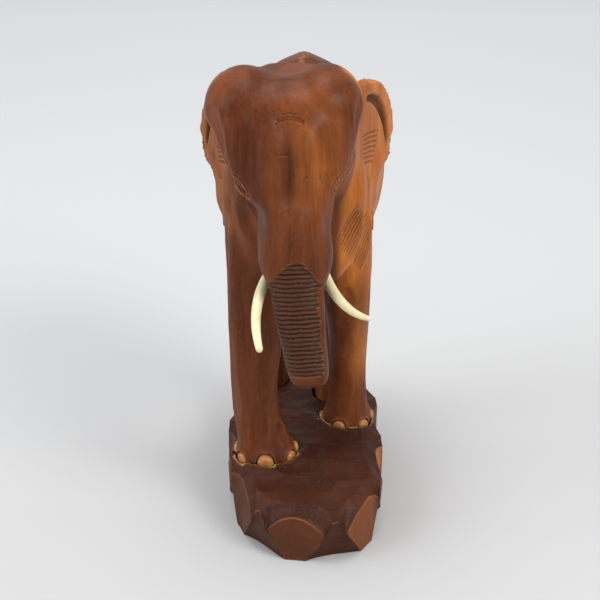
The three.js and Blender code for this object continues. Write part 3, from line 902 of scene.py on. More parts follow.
def eyeCut(points, normals, side):
    # an almond with lids, three folds over and under it and short creases at its outer corner
    eye = eyes[side]
    flat, near = planeFrame(points, normals, eye["place"], eye["looking"], 12)
    lean = eye["lean"]
    a = math.radians(eye["tilt"])
    u = lean * flat[:, 0] * math.cos(a) - flat[:, 1] * math.sin(a)
    v = lean * flat[:, 0] * math.sin(a) + flat[:, 1] * math.cos(a)
    ball = np.exp(-((u / 4.0) ** 2) - (v / 2.2) ** 2)
    lids = np.concatenate([
        arcStrokes(0, 0, eyes["wide"], eyes["tall"], 8, 172, 8),
        arcStrokes(0, 0, eyes["wide"], eyes["tall"] * 0.8, 188, 352, 8),
    ])
    folds = np.concatenate([
        arcStrokes(0, -0.5, 7.4, 5.2, 25, 155, 7),
        arcStrokes(0, -0.5, 9.6, 7.8, 35, 145, 7),
        arcStrokes(0, 0.5, 7.2, 4.8, 205, 330, 7),
        arcStrokes(0, 0.5, 9.4, 7.4, 215, 315, 7),
        [[6.4, 0.6, 10.5, 2.6], [6.4, -0.4, 10.8, -0.8], [6.0, -1.6, 9.8, -3.8],
         [-6.2, 0.4, -9.6, 1.8], [-6.2, -0.8, -9.8, -1.6]],
    ])
    plane = np.stack([u, v], -1)
    cut = 1.3 * strokeCut(plane, lids, 1.5) + 0.8 * strokeCut(plane, folds, 1.15)
    return near * (0.9 * ball - cut), near * np.clip(cut, 0, 1)


def faceForms(points, normals):
    # broad forms of the face, seen from the front: twin swellings and the groove between them, temple
    # hollows, brows and the swelling over each tusk
    x, y, z = points.T
    front = ease((-normals[:, 1] - 0.05) / 0.5) * (y < foreY - 8)
    lift = (
        2.6 * bell(x, z, -18.5, 240, 6.5, 15)
        + 2.6 * bell(x, z, -0.5, 242, 6.5, 15)
        - 2.6 * bell(x, z, -9.5, 234, 3.2, 20)
        - 2.2 * bell(x, z, -10.5, 264, 9, 6)
        - 3.8 * bell(x, z, -31.5, 247, 5.5, 17, 6)
        - 4.0 * bell(x, z, 11.5, 246, 5.5, 15, -6)
        + 1.6 * bell(x, z, -40, 229, 4, 12, 30)
        + 1.6 * bell(x, z, 22, 232, 4, 12, -30)
        - 1.8 * bell(x, z, -27, 209, 4, 9)
        - 1.6 * bell(x, z, 15, 211, 4, 9)
        + 1.2 * bell(x, z, -6, 205, 8, 20)
        - 0.9 * bell(x, z, -6, 226, 12, 5)
    )
    return front * lift


faceStrokes = np.concatenate([
    arcStrokes(-8, 258, 11, 8, 50, 130, 7),
    arcStrokes(-8, 256.6, 12.5, 8, 52, 130, 7),
    arcStrokes(-8.5, 262, 8, 5.6, 62, 118, 4),
    [[-13.5, 247.9, -8.9, 247.2]],
])
fineStrokes = np.concatenate([
    arcStrokes(1.5, 229, 4.0, 8, 40, 150, 5),
    [[6.0 + 1.3 * k, 238 - 0.7 * k, 8.6 + 1.2 * k, 231 - 1.4 * k] for k in range(4)],
    [[-30 + 1.6 * k, 240 - 3 * k, -27.5 + 1.6 * k, 236 - 3 * k] for k in range(4)],
])
shoulderStrokes = np.array([[18.5 + 1.0 * k, 186 - 2.1 * k, 30 + 0.9 * k, 207 - 2.0 * k] for k in range(15)])
earStrokes = np.array([[4.5 + 0.5 * k, -19.5 - 2.6 * k, 32 - 1.2 * k, -23.5 - 2.65 * k] for k in range(7)])


def grooveDepth(points, path, widths):
    # a tapering gouge along a path in a plane: 1 on its line, 0 at its edge
    path, widths = np.array(path, float), np.array(widths, float)
    best = np.zeros(len(points))
    for a, b, wa, wb in zip(path[:-1], path[1:], widths[:-1], widths[1:]):
        run = b - a
        along = np.clip(((points - a) @ run) / (run @ run), 0, 1)
        far = np.linalg.norm(points - a - along[:, None] * run, axis=1)
        best = np.maximum(best, np.clip(1 - far / (wa + (wb - wa) * along), 0, 1))
    return best


def outlineDistance(points, outline):
    # distance to the nearest point of a closed outline
    best = np.full(len(points), np.inf)
    for start in range(0, len(points), 20000):
        part = points[start:start + 20000]
        far = (part**2).sum(1)[:, None] + (outline**2).sum(1)[None] - 2 * part @ outline.T
        best[start:start + 20000] = np.sqrt(np.maximum(far.min(1), 0))
    return best


def sunk(points, middle, axis, radius, depth, soft=0.5):
    # pushes the skin within a radius of an axis inwards, along it, down to a flat bottom
    away = points - middle
    along = away @ axis
    off = np.linalg.norm(away - along[:, None] * axis, axis=1)
    inside = ease((radius + soft / 2 - off) / soft) * (along > -4) * (along < 9)
    target = np.minimum(along, -depth)
    return points + (inside * (target - along))[:, None] * axis, inside


knifeFacets = [  # middle, the way it looks, reach, how much taller than wide, depth
    ((-50, -48, 252), (-0.8, -0.58, -0.1), 19, 1.3, 2.2),
    ((30, -45, 256), (0.85, -0.5, 0.12), 16, 1.3, 1.4),
    ((-44, -50, 236), (-0.66, -0.68, -0.32), 13, 1.2, 1.2),
    ((26, -50, 238), (0.66, -0.66, -0.34), 13, 1.2, 1.0),
    ((-42, -30, 95), (-0.86, -0.5, 0), 15, 4.5, 1.4),
    ((-30, -45, 95), (0.05, -1, 0.02), 12, 5, 1.3),
    ((-17, -34, 92), (0.85, -0.5, 0), 12, 4, 1.2),
    ((38, 5, 100), (0.9, -0.42, 0), 14, 4.5, 1.3),
    ((27, 2, 95), (-0.1, -1, 0), 12, 4.5, 1.2),
    ((40, -8, 176), (0.72, -0.68, 0.1), 22, 1.6, 2.6),
    ((52, 22, 196), (0.96, -0.26, 0.12), 26, 1.4, 2.4),
    ((54, 48, 178), (0.97, 0.2, -0.1), 26, 1.4, 2.2),
    ((-52, 24, 196), (-0.96, -0.26, 0.12), 26, 1.4, 2.4),
    ((-54, 50, 176), (-0.97, 0.2, -0.1), 26, 1.4, 2.2),
    ((-46, -4, 168), (-0.85, -0.52, 0.0), 20, 1.6, 2.0),
    ((26, -28, 168), (0.3, -0.95, 0.1), 15, 2.4, 2.6),
    ((36, -18, 190), (0.8, -0.55, -0.2), 13, 1.5, 2.0),
    ((-34, -30, 172), (-0.35, -0.93, 0.1), 15, 2.4, 2.6),
    ((-48, -14, 196), (-0.85, -0.5, -0.2), 14, 1.5, 2.2),
    ((16, -62, 214), (0.8, -0.6, 0.05), 9, 1.8, 1.2),
    ((-27, -62, 212), (-0.8, -0.6, 0.05), 9, 1.8, 1.2),
    ((22, 10, 270), (0.42, 0.05, 0.9), 36, 1, 1.6),
    ((-24, 10, 270), (-0.42, 0.05, 0.9), 36, 1, 1.6),
    ((20, 62, 255), (0.5, 0.35, 0.8), 30, 1, 2.2),
    ((-20, 62, 255), (-0.5, 0.35, 0.8), 30, 1, 2.2),
    ((0, 92, 200), (0.1, 0.98, 0.2), 30, 1.6, 2.2),
]


def knifeCut(points, normals, facet):
    # shaves what stands above a plane set a little below the highest point of its patch
    middle, looking, reach, tall, depth = facet
    look = np.array(looking, float)
    look /= np.linalg.norm(look)
    away = points - np.array(middle, float)
    spread = np.linalg.norm((away - (away @ look)[:, None] * look) / (1, 1, tall), axis=1)
    near = (spread < reach) & (np.abs(away @ look) < 20) & (normals @ look > 0.35)
    if not near.any():
        return points
    level = (away @ look)[near & (spread < reach * 0.7)].max() - depth
    over = np.where(near, np.maximum(away @ look - level, 0), 0)
    return points - (over * ease((reach - spread) / (0.3 * reach)))[:, None] * look


# Gouge facets all over, and how deep each kind of line is cut, in millimetres.
carving = {
    "facets": 620, "facetRadius": 34, "facetDepth": 2.0, "facetShare": 0.55, "facetFlat": (1, 1, 0.42),
    "ridgeFlat": 0.35, "faceLine": 0.75, "shoulderLine": 1.1,
    "earGroove": 3.0, "earLine": 1.1, "earDish": 1.1, "rim": 8.5,
}


def carveFigure(mesh):
    # broad forms first, then gouge facets, then cut lines and sockets; returns the masks for the finish
    points, edges = readPoints(mesh), edgesOf(mesh)
    normals = readNormals(mesh)
    points = points + faceForms(points, normals)[:, None] * normals

    dice = np.random.default_rng(21)
    x, y, z = points.T
    seeds = points[dice.choice(len(points), carving["facets"], replace=False)]
    headZone = ease((z - (crownZ - 112)) / 20) * ease((foreY - 6 - y) / 14)
    trunkZone = ease((faceY - 2 - y) / 8) * (z < crownZ - 90)
    flatten = np.array(carving["facetFlat"])
    coarse = scooped(points, seeds, flatten, carving["facetRadius"], carving["facetDepth"])
    amount = 1 - 0.75 * headZone - 0.95 * trunkZone * (1 - headZone)
    for side in ("left", "right"):
        s, h, out = earPlane(points, side)
        amount = amount - 0.9 * ((s > 2) & (s < 64) & (h > -80) & (h < 14) & (np.abs(out) < 5))
    points = points - (coarse * carving["facetShare"] * np.clip(amount, 0, 1))[:, None] * normals
    for facet in knifeFacets:
        points = knifeCut(points, normals, facet)
    writePoints(mesh, points)
    normals = readNormals(mesh)
    x, y, z = points.T

    # hollow: painted shade in the cut lines, grooves, pockets and sockets and under the head, with dark wax
    # in the cuts and creases
    hollow = np.zeros(len(points))
    zone, groove = ridgeCut(points, normals)
    depth = zone * (carving["ridgeFlat"] + trunkRidges["depth"] * groove)
    points = points - depth[:, None] * normals
    hollow = np.maximum(hollow, zone * (0.1 + 0.75 * groove))
    ridged = zone

    flat, near = planeFrame(points, normals, (0, -70, 0), (0, -1, 0), 45)
    cut = near * (y < faceY + 8) * np.maximum(strokeCut(flat, faceStrokes, 1.1),
                                              0.45 * strokeCut(flat, fineStrokes, 0.8))
    points = points - (carving["faceLine"] * cut)[:, None] * normals
    hollow = np.maximum(hollow, 0.8 * cut)
    near = (normals[:, 1] < 0.05) & (x > 14) & (y > -50) & (y < 26) & (z > 150) & (z < 212)
    facing = ease((-0.12 - normals[:, 1]) / 0.25)
    cut = near * facing * strokeCut(np.stack([x, z], -1), shoulderStrokes, 1.3)
    points = points - (carving["shoulderLine"] * cut)[:, None] * normals
    hollow = np.maximum(hollow, 0.95 * cut)
    for side in ("left", "right"):
        lift, dark = eyeCut(points, normals, side)
        points = points + lift[:, None] * normals
        hollow = np.maximum(hollow, dark)

    ochre = np.zeros(len(points))
    for side in ("left", "right"):
        s, h, out = earPlane(points, side)
        plane = np.stack([s, h], -1)
        outer = ease((out - 0.2) / 1.2) * (out < 8) * (s > -4)
        gap = grooveDepth(plane, ears["groove"], ears["grooveHalf"])
        lines = strokeCut(plane, earStrokes, 1.6)
        rim = outlineDistance(plane, closedCurve(ears["outline"], 160))
        dish = ease((rim - carving["rim"]) / 7) * (h > -50)
        depth = carving["earGroove"] * ease(gap * 1.3)
        depth = depth + carving["earLine"] * lines + carving["earDish"] * dish
        points = points - (outer * depth)[:, None] * normals
        hollow = np.maximum(hollow, outer * np.maximum(ease(gap * 1.6) * 0.95, 0.85 * lines))
        onEar = ease((out + 4.5) / 2) * ease((9 - out) / 2) * ease((s + 1) / 6) * ease((62 - s) / 2)
        # painted light: the left ear, which faces the light, takes full ochre, and the right ear, in shade,
        # takes about a third of it
        paler = 1 if side == "left" else 0.35
        ochre = np.maximum(ochre, paler * onEar * ease((h + 82) / 6) * ease((14 - h) / 3))

    for name in nailNames:
        middle, out, radius = nailPlace(name)
        away = points - middle
        along = away @ out
        off = np.linalg.norm(away - along[:, None] * out, axis=1)
        near = (np.abs(along) < 7) & (off < radius + 5)
        toe = near * np.exp(-(((off - radius - 1.6) / 1.3) ** 2)) * (away[:, 2] > -0.5)
        points = points + (nailShape["bulge"] * toe)[:, None] * normals
        mouth = middle + out * 0.4
        points, inside = sunk(points, mouth, out, radius + nailShape["clear"], nailShape["sunk"])
        # painted shadow in each nail's pocket and in a dark ring round it
        hollow = np.maximum(hollow, np.maximum(inside, near * ease((radius + 1.4 - off) / 1.2)))
    for name in tuskJoints:
        mouth, axis = tuskSocket(name)
        points, inside = sunk(points, mouth, axis, tuskShape["relief"] - 0.6, 2.0, 1.2)
        bore = tuskShape["radius"] + tuskShape["clear"]
        points, deep = sunk(points, mouth - axis, axis, bore, tuskShape["peg"] + 1, 0.8)
        # painted shade in the tusk sockets
        hollow = np.maximum(hollow, 0.8 * np.maximum(inside, deep))

    writePoints(mesh, points)
    normals = readNormals(mesh)
    # creases and edges, from how far each vertex stands off its neighbours
    off = ((averaged(points, edges) - points) * normals).sum(1)
    smooth = relaxed(off[:, None], edges, 2)[:, 0]
    length = np.linalg.norm(points[edges[:, 0]] - points[edges[:, 1]], axis=1)
    around = sum(np.bincount(edges[:, k], length, len(points)) for k in (0, 1))
    count = np.bincount(edges.ravel(), minlength=len(points))
    bend = smooth / (around / np.maximum(count, 1))
    worn = ease((-bend - 0.02) / 0.1) * (1 - 0.7 * ridged)
    crease = ease((bend - 0.05) / 0.2)
    # the creases take dark wax, and painted shade as well
    hollow = np.maximum(hollow, 0.6 * crease)

    x, y, z = points.T
    # ochre on the shoulder and upper leg of the elephant's left side, weaker on its right flank: the wood's
    # yellower colour, made stronger on the side that faces the light as painted light
    shoulder = ease((x - 17) / 5) * ease((z - 112) / 45) * ease((y + 52) / 10) * ease((70 - y) / 30)
    leg = 0.5 * ease((x - 26) / 8) * ease((z - 60) / 30) * ease((y + 30) / 10) * ease((45 - y) / 12)
    rightFlank = 0.3 * ease((-x - 40) / 8) * ease((z - 170) / 20)
    notHead = 1 - ease((faceY + 8 - y) / 6) * ease((z - 205) / 6)
    ochre = np.maximum(ochre, np.maximum(shoulder, np.maximum(leg, rightFlank)) * notHead)
    # painted shade under the jaw on both sides, and a darker wedge of painted shade on the chest beside the
    # trunk
    under = bell(x, z, 20, 204, 6, 13) * (y < -14) * (y > -58) * (x > 14)
    under = under + bell(x, z, -36, 204, 6, 15) * (y < -14) * (y > -58) * (x < -26)
    under = under + 1.3 * bell(x, z, 13, 166, 5.5, 34) * (y > -50) * (y < 0)
    hollow = np.maximum(hollow, 0.6 * under)
    # painted shade: the lower trunk and the legs darken towards the bottom, under the head
    hollow = np.maximum(hollow, 0.24 * ease((218 - z) / 46) * (1 - ochre))
    # painted shade down the groove between the two swellings of the face
    grooveShade = 0.56 * bell(x, z, -8.8, 236, 3.8, 24) * (y < faceY) * ease((crownZ - 22 - z) / 6)
    hollow = np.maximum(hollow, grooveShade)
    # painted light: a lit, yellower patch on the left side of the face; painted shade at the root of the
    # trunk, under the head
    ochre = np.maximum(ochre, 0.42 * bell(x, z, 6, 236, 12, 26) * (y < faceY + 10))
    hollow = np.maximum(hollow, 0.3 * bell(x, z, -9, 203, 12, 17) * (y < faceY))
    return np.stack([hollow, worn, 0.85 * ridged, ochre], -1)


def makeFigure():
    members = [torsoLoft(), headLoft(), tailLoft()]
    members += [ellipsoid(-33, faceY + 8, crownZ - 22.5, 22.4, 27, 21.5),
                ellipsoid(10.5, faceY + 8, crownZ - 21.5, 21.6, 27, 21.5),
                ellipsoid(-5, faceY - 2, crownZ - 102, 17.5, 20, 19),
                ellipsoid(-5, foreY - 20, crownZ - 52, 36, 38, 42)]
    members += [earShell(ears["left"]), earShell(ears["right"])]
    members += [legLoft(name) for name in footNames]
    members += [sheathRod(name) for name in tuskJoints]
    mesh = joinMembers(members)
    print("figure joined:", len(mesh.vertices), "vertices")
    writePoints(mesh, relaxed(readPoints(mesh), edgesOf(mesh), figureBuild["relax"]))
    for level in range(2):
        points = readPoints(mesh)
        splitFaces(mesh, finerZones(points)[level])
        chosen = finerZones(readPoints(mesh))[level]
        writePoints(mesh, relaxed(readPoints(mesh), edgesOf(mesh), 2, 0.45 * chosen[:, None]))
    paint(mesh, "tone", carveFigure(mesh))
    smoothShaded(mesh)
    figure = objectFrom("carvedElephant", mesh)
    mesh.materials.append(figureWood)
    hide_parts("figure")
    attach(figure, "carving")
    print("figure carved:", len(mesh.polygons), "faces")
    return figure


makeFigure()


plinthShape = {
    "squareness": 3.2, "cornerCut": 2.3, "flutes": 20, "gouge": 31, "lean": 0.25, "bottomTaper": 0.975,
    "frontDrop": 4.5, "around": 900, "side": 44, "top": 74, "bottom": 10,
    "seatMargin": 0.9, "archFront": 13, "archSide": 5, "archWidth": 13,
    "scoopStep": (15.0, 18.0), "scoopDepth": (1.0, 2.8), "scoopRadius": 30, "lip": 2.6, "lipWidth": 6.5,
    "facets": 260, "facetRadius": 26, "facetDepth": 1.2, "facetShare": 0.35, "facetFlat": (1, 1, 0.6),
    "holeRadius": 4.4, "holeDepth": 12.3, "seatGap": 0.3,
}


def outlineReader():
    # the plan outline read by its length from the front; a squared oval with one corner cut back
    half, halfLength = plinthHigh[0], (plinthHigh[1] - plinthLow[1]) / 2
    turn = np.linspace(-np.pi / 2, 1.5 * np.pi, 4001)
    cos, sin = np.cos(turn), np.sin(turn)
    square = np.where((cos < 0) & (sin < 0), plinthShape["cornerCut"], plinthShape["squareness"])
    p = np.stack([half * power(cos, 2 / square), halfLength * power(sin, 2 / square)], -1)
    run = np.concatenate([[0], np.cumsum(np.linalg.norm(np.diff(p, axis=0), axis=1))])

    def at(share):
        wanted = (share % 1) * run[-1]
        return np.stack([np.interp(wanted, run, p[:, k]) for k in (0, 1)], -1)

    return at, run[-1]


def plinthSide(t):
    # one ring of the side at height share t: between ridges that lean to and fro, each gouge cuts in by
    # its width squared over eight times its radius
    shape = plinthShape
    at, total = outlineReader()
    pitch = total / shape["flutes"]
    turn = np.linspace(0, shape["flutes"], shape["around"], endpoint=False)[None]
    flute = np.floor(turn + 1e-6)
    within = turn - flute
    lean = shape["lean"] * (2 * t - 1) * np.where(flute % 2 == 1, 1, -1)
    share = (flute + shape["lean"] - lean + within * (1 + 2 * lean)) / shape["flutes"]
    width = pitch * (1 + 2 * lean)
    inset = width**2 / (8 * shape["gouge"]) * 4 * within * (1 - within)
    edge = at(share)
    taper = shape["bottomTaper"] + (1 - shape["bottomTaper"]) * t
    scale = taper * (1 - inset / np.linalg.norm(edge, axis=-1))
    return edge * scale[..., None], flute + 0 * t, within + 0 * t


def deckHeight(x, y):
    # the top: it falls away to the front, and round gouges have scooped it all over between the feet
    dice = np.random.default_rng(8)
    across, along = plinthShape["scoopStep"]
    gx, gy = np.meshgrid(np.arange(-54, 60, across), np.arange(-100, 105, along))
    seeds = np.stack([gx.ravel(), gy.ravel()], -1) + dice.uniform(-6, 6, (gx.size, 2))
    depths = dice.uniform(*plinthShape["scoopDepth"], len(seeds))
    p = np.stack([x.ravel(), y.ravel()], -1)
    far = (p**2).sum(1)[:, None] + (seeds**2).sum(1)[None] - 2 * p @ seeds.T
    cut = depths[None] - far / (2 * plinthShape["scoopRadius"])
    shade = dice.uniform(0, 1, len(seeds))[cut.argmax(1)].reshape(x.shape)
    cut = np.maximum(cut.max(1).reshape(x.shape), 0)
    start = footMiddle["fore_right"][1] - 16.8 - 4
    slope = plinthShape["frontDrop"] * np.clip((start - y) / (start - plinthLow[1]), 0, 1.2)
    inFront = ease((start + 14 - y) / 20)
    z = deckZ - slope - cut * inFront - 0.55 * cut * (1 - inFront)
    return z, shade * ease(cut / 0.4)


def makePlinth():
    shape = plinthShape
    t = np.linspace(0, 1, shape["side"])[:, None]
    sides, flute, within = plinthSide(t)
    edge = sides[-1]
    foot = sides[0]
    # underside from its middle out, the side upwards, and the top from its edge to its middle
    inward = np.linspace(0.02, 0.985, shape["bottom"])[:, None, None]
    under = np.concatenate([inward * foot, np.zeros((shape["bottom"], shape["around"], 1))], -1)
    share = 1 - np.linspace(0, 0.985, shape["top"] + 1)[1:, None, None]
    topPlan = share * edge
    topZ, topShade = deckHeight(topPlan[..., 0], topPlan[..., 1])
    edgeZ = deckHeight(edge[:, 0], edge[:, 1])[0]
    # the top rolls over towards the ridges, and each gouge cut runs up into it as an arch
    ahead = ease((-48 - edge[:, 1]) / 30)
    roll = shape["archSide"] + (shape["archFront"] - shape["archSide"]) * ahead
    arch = np.abs(2 * within[-1] - 1) ** 2.2
    edgeDrop = roll * (0.25 + 0.75 * arch)
    edgeZ = edgeZ - edgeDrop
    fromEdge = (1 - share[..., 0]) * np.linalg.norm(edge, axis=1)[None]
    topZ = topZ - edgeDrop[None] * (1 - ease(fromEdge / shape["archWidth"] + 0.12)) / (1 - ease(0.12))
    sideZ = t * edgeZ[None]
    wall = np.concatenate([sides, sideZ[..., None]], -1)
    top = np.concatenate([topPlan, topZ[..., None]], -1)
    grid = np.concatenate([under, wall, top])

    points, quads, tris = shell(grid)
    mesh = meshFrom("plinth", points, quads, tris)
    edges = edgesOf(mesh)
    count = grid.shape[0] * grid.shape[1]
    row = np.concatenate([np.repeat(np.arange(grid.shape[0]), grid.shape[1]), [0, grid.shape[0] - 1]])
    onSide = (row >= shape["bottom"]) & (row < shape["bottom"] + shape["side"])
    onTop = row >= shape["bottom"] + shape["side"]
    x, y, z = points.T

    # shallow seats for the feet, with a ragged pale edge, painted shade inside them and a soft ring of
    # painted shadow round each foot
    rough = np.random.default_rng(3)
    margin, seatWaves = shape["seatMargin"], (3, 5, 8, 13, 21, 34)
    chip = np.zeros(len(points))
    hollow = np.zeros(len(points))
    firstTop = (shape["bottom"] + shape["side"]) * shape["around"]
    hollow[firstTop:firstTop + topShade.size] = 0.5 * topShade.ravel() ** 1.5
    for name in footNames:
        size, middle = footSizes[name], footMiddle[name]
        dx, dy = x - middle[0], y - middle[1]
        ring = np.arctan2(dy, dx)
        waves = sum(rough.uniform(0.2, 0.7) * np.sin(k * ring + rough.uniform(0, 6)) for k in seatWaves)
        reach = np.hypot(dx / (size["half"] + margin), dy / (size["reach"] + margin))
        off = (reach - 1) * (size["half"] + size["reach"]) / 2 - 0.3 * waves
        for nail in nailNames:
            if footOf(nail) == name:
                button, out, radius = nailPlace(nail)
                ahead = (x - button[0]) * out[0] + (y - button[1]) * out[1]
                across = (x - button[0]) * out[1] - (y - button[1]) * out[0]
                off = np.minimum(off, np.maximum(np.abs(ahead) - 3.0, np.abs(across) - radius - 0.1))
        if name.startswith("fore"):
            # a low lip of wood stands up against the toes
            facing = ease((-dy / np.maximum(np.hypot(dx, dy), 1) + 0.5) / 0.7)
            fall = np.exp(-((np.maximum(off, 0) / shape["lipWidth"]) ** 2))
            z = z + onTop * shape["lip"] * facing * fall
        inside = onTop * ease(-off / 0.8)
        z = z + inside * (footZ - shape["seatGap"] - z)
        forward = ease((-dy / np.maximum(np.hypot(dx, dy), 1) + 0.1) / 0.5) * name.startswith("fore")
        ragged = 0.25 + 0.75 * np.clip(np.sin(5 * ring + 2) + 0.6 * np.sin(13 * ring), 0, 1)
        chip = np.maximum(chip, onTop * forward * np.exp(-(((off - 0.6) / 0.7) ** 2)) * ragged)
        # painted shade inside each seat, and a soft ring of painted shadow round the foot
        hollow = np.maximum(hollow, onTop * ease((-off - 0.2) / 1.0) * 0.8)
        hollow = np.maximum(hollow, onTop * 0.3 * np.exp(-((off - 0.5) / 4) ** 2) * (off > 0))
    points[:, 2] = z

    # the dowels' holes
    for name in footNames:
        middle = footMiddle[name]
        away = np.hypot(points[:, 0] - middle[0], points[:, 1] - middle[1])
        hole = onTop & (away < shape["holeRadius"])
        points[hole, 2] = footZ - shape["seatGap"] - shape["holeDepth"]
    writePoints(mesh, points)
    normals = readNormals(mesh)

    # saw and gouge unevenness on the walls and the top
    seeds = points[np.random.default_rng(17).choice(count, shape["facets"], replace=False)]
    flatten = np.array(shape["facetFlat"])
    facets = scooped(points, seeds, flatten, shape["facetRadius"], shape["facetDepth"])
    plain = np.maximum(onSide, onTop) * (hollow < 0.4) * (z > 1.5)
    points = points - (shape["facetShare"] * facets * plain)[:, None] * normals
    writePoints(mesh, points)
    normals = readNormals(mesh)
    off = ((averaged(points, edges) - points) * normals).sum(1)
    off = relaxed(off[:, None], edges, 2)[:, 0]
    worn = ease((-off - 0.03) / 0.12) * (chip < 0.2) * (0.2 + 0.8 * onSide)
    # painted shade in the creases
    hollow = np.maximum(hollow, 0.5 * ease((off - 0.03) / 0.1))

    # some gouge cuts are paler: the wide one at the front on the left, and the deep notch on that side
    tone = np.random.default_rng(29).uniform(0, 0.12, 64)
    corner = np.hypot(edge[:, 0] - 34, edge[:, 1] + 88)
    freshFlute = flute[-1][corner.argmin()]
    number = np.zeros(len(points))
    first = shape["bottom"] * shape["around"]
    number[first:first + flute.size] = flute.ravel()
    fresh = onSide * tone[number.astype(int)]
    frontCut = bell(x, y, 36, -88, 17, 17)
    fresh = np.maximum(fresh, onSide * 0.34 * ease(frontCut / 0.4) * (number == freshFlute))
    notch = bell(points[:, 0], points[:, 1], 47, -25, 9, 13) * ease((z - 14) / 10)
    fresh = np.maximum(fresh, onSide * 0.9 * notch)
    paint(mesh, "tone", np.stack([hollow, worn, fresh, chip], -1))
    smoothShaded(mesh)
    mesh.materials.append(plinthWood)
    piece = objectFrom("gougedPlinth", mesh)
    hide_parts("plinth")
    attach(piece, "carving")
    print("plinth cut:", len(mesh.polygons), "faces")


makePlinth()


def makeTusk(name):
    # a straight peg, then an even bend; the radius eases down to a rounded tip
    shape = tuskShape
    mouth, axis = tuskSocket(name)
    side = np.array(tuskSides[name])
    inward = side - (side @ axis) * axis
    inward /= np.linalg.norm(inward)
    across = np.cross(axis, inward)
    s = np.concatenate([np.linspace(-shape["peg"], shape["length"] - 3, 90),
                        shape["length"] - 3 * (1 - np.sin(np.linspace(0.1, 1.5, 14)))])[:, None]
    bendRadius = (shape["length"] - shape["straight"]) / math.radians(shape["bend"])
    angle = np.maximum(0, s - shape["straight"]) / bendRadius
    forward = np.minimum(s, shape["straight"]) + bendRadius * np.sin(angle)
    aside = bendRadius * (1 - np.cos(angle))
    share = np.clip(s / shape["length"], 0, 1)
    left = shape["length"] - s
    tip = np.sqrt(np.clip(1 - (1 - np.minimum(left, 2.4) / 2.4) ** 2, 0.002, 1))
    radius = (shape["radius"] - (shape["radius"] - shape["tip"][name]) * share**2.2) * tip
    turn = np.linspace(0, 2 * np.pi, 48, endpoint=False)
    radius = radius * (1 + 0.015 * np.sin(3 * turn + 5 * share) + 0.02 * np.sin(2 * turn + 1))
    outward = aside + radius * np.cos(turn) * np.cos(angle)
    ahead = forward - radius * np.cos(turn) * np.sin(angle)
    grid = (mouth + ahead[..., None] * axis + outward[..., None] * inward
            + (radius * np.sin(turn))[..., None] * across)
    mesh = meshFrom(name, *shell(grid))
    smoothShaded(mesh)
    mesh.materials.append(tuskResin)
    piece = objectFrom(name + "_cast", mesh)
    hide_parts(name)
    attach(piece, name)


for tuskName in tuskJoints:
    makeTusk(tuskName)
print("tusks made")


def makeNail(name, number):
    # a button: plain shank, then a dome whose outline is a little uneven, as a knife leaves it
    middle, out, radius = nailPlace(name)
    dice = np.random.default_rng(100 + number)
    side = np.array([-out[1], out[0], 0])
    turn = np.linspace(0, 2 * np.pi, 40, endpoint=False)
    climb = np.linspace(0.03, np.pi / 2, 16)[:, None]
    dome = nailShape["proud"] * np.cos(climb) ** 0.85
    reach = np.sin(climb) ** 0.75
    shank = np.linspace(0, -nailShape["pocket"], 6)[1:, None]
    along = np.concatenate([dome, shank])[::-1]
    share = np.concatenate([reach, np.ones_like(shank)])[::-1]
    uneven = 1 + sum(dice.uniform(0.004, 0.03) * np.sin(k * turn + dice.uniform(0, 6)) for k in (2, 3, 5))
    tilt = dice.uniform(-0.12, 0.12, 2)
    along = along + (along > 0) * share * (tilt[0] * np.cos(turn) + tilt[1] * np.sin(turn)) * 1.5
    off = radius * share * np.where(along > 0, uneven, 1)
    base = middle + out * ((nailShape["pocket"] - nailShape["proud"]) / 2)
    grid = (base + along[..., None] * out + (off * np.cos(turn))[..., None] * side
            + (off * np.sin(turn))[..., None] * np.array([0, 0, 1.0]))
    mesh = meshFrom(name, *shell(grid))
    smoothShaded(mesh)
    mesh.materials.append(nailWood)
    piece = objectFrom(name + "_button", mesh)
    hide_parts(name)
    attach(piece, "carving")


for number, nailName in enumerate(nailNames):
    makeNail(nailName, number)
print("nails made:", len(nailNames))

for footName in footNames:
    for holder in frame["nodes"]["dowel_" + footName].material_slots:
        holder.material = dowelWood


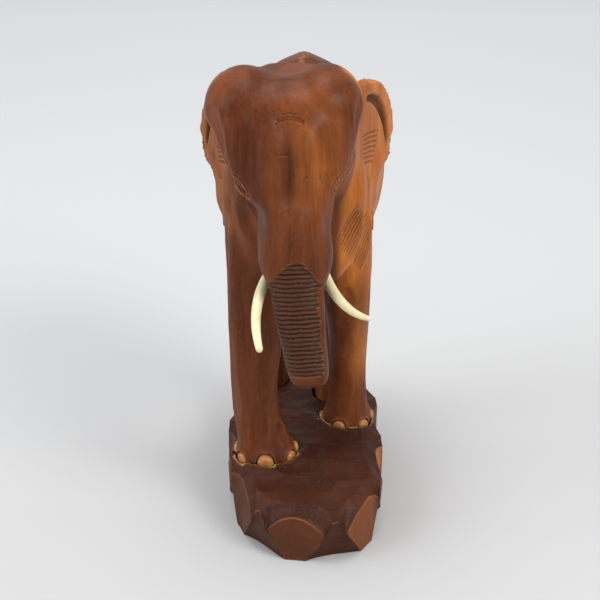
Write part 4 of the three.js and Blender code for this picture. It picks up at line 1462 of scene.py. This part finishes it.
# A pale floor that reaches far out, and soft light from the upper right, the left side and above.
floorFinish = {
    "half": 6.0, "near": (196, 196, 196), "far": (247, 248, 249), "grain": (225, 226, 227), "turn": 0.55,
}
lights = [  # name, place, aim, size, power, colour
    ("keySoftbox", (0.85, -0.75, 1.0), (0, 0, 0.17), 0.7, 11.5, (1.0, 0.98, 0.95)),
    ("sideSoftbox", (-1.0, -0.35, 0.75), (0, 0, 0.17), 0.8, 6.0, (0.98, 0.98, 1.0)),
    ("topSoftbox", (-0.1, 0.1, 1.5), (0, 0, 0.2), 0.9, 8.0, (1.0, 1.0, 1.0)),
]
worldStrength = 0.62


def makeStudio():
    half = floorFinish["half"]
    mesh = bpy.data.meshes.new("floor")
    corners = [(-half, -half, 0), (half, -half, 0), (half, half, 0), (-half, half, 0)]
    mesh.from_pydata(corners, [], [(0, 1, 2, 3)])
    floor = objectFrom("floor", mesh)
    material, tree, shader = newMaterial("floorPaint", Roughness=0.85)
    shader.inputs["Specular IOR Level"].default_value = 0.15
    vector = objectCoordinates(tree)
    split = addNode(tree, "ShaderNodeSeparateXYZ")
    tree.links.new(vector, split.inputs[0])
    # painted light: the floor's colour is darker near and paler far behind, to even out how the lamps' light
    # falls off with distance
    behind = rangeOf(tree, split.outputs[1], floorFinish["turn"] - 0.6, floorFinish["turn"] + 0.9)
    grainy = rangeOf(tree, noiseAt(tree, vector, 2.2, 3), 0.3, 0.7, 0.985, 1.0)
    color = mixColor(tree, behind, linear(*floorFinish["near"]), linear(*floorFinish["far"]))
    color = mixColor(tree, grainy, linear(*floorFinish["grain"]), color)
    tree.links.new(color, shader.inputs["Base Color"])
    mesh.materials.append(material)

    for name, place, aim, size, watts, tint in lights:
        data = bpy.data.lights.new(name, "AREA")
        data.shape = "DISK"
        data.size = size
        data.energy = watts
        data.color = tint
        lamp = bpy.data.objects.new(name, data)
        away = np.array(aim) - np.array(place)
        lamp.location = place
        flat = math.hypot(away[0], away[1])
        lamp.rotation_euler = (math.atan2(flat, -away[2]), 0, math.atan2(away[1], away[0]) - math.pi / 2)
        lamp.visible_camera = False
        bpy.context.scene.collection.objects.link(lamp)
    world = bpy.data.worlds.new("studio")
    world.use_nodes = True
    background = world.node_tree.nodes["Background"]
    background.inputs["Color"].default_value = (0.95, 0.97, 1.0, 1)
    background.inputs["Strength"].default_value = worldStrength
    bpy.context.scene.world = world
    bpy.context.scene.view_settings.view_transform = "Standard"


makeStudio()
print("studio lit")
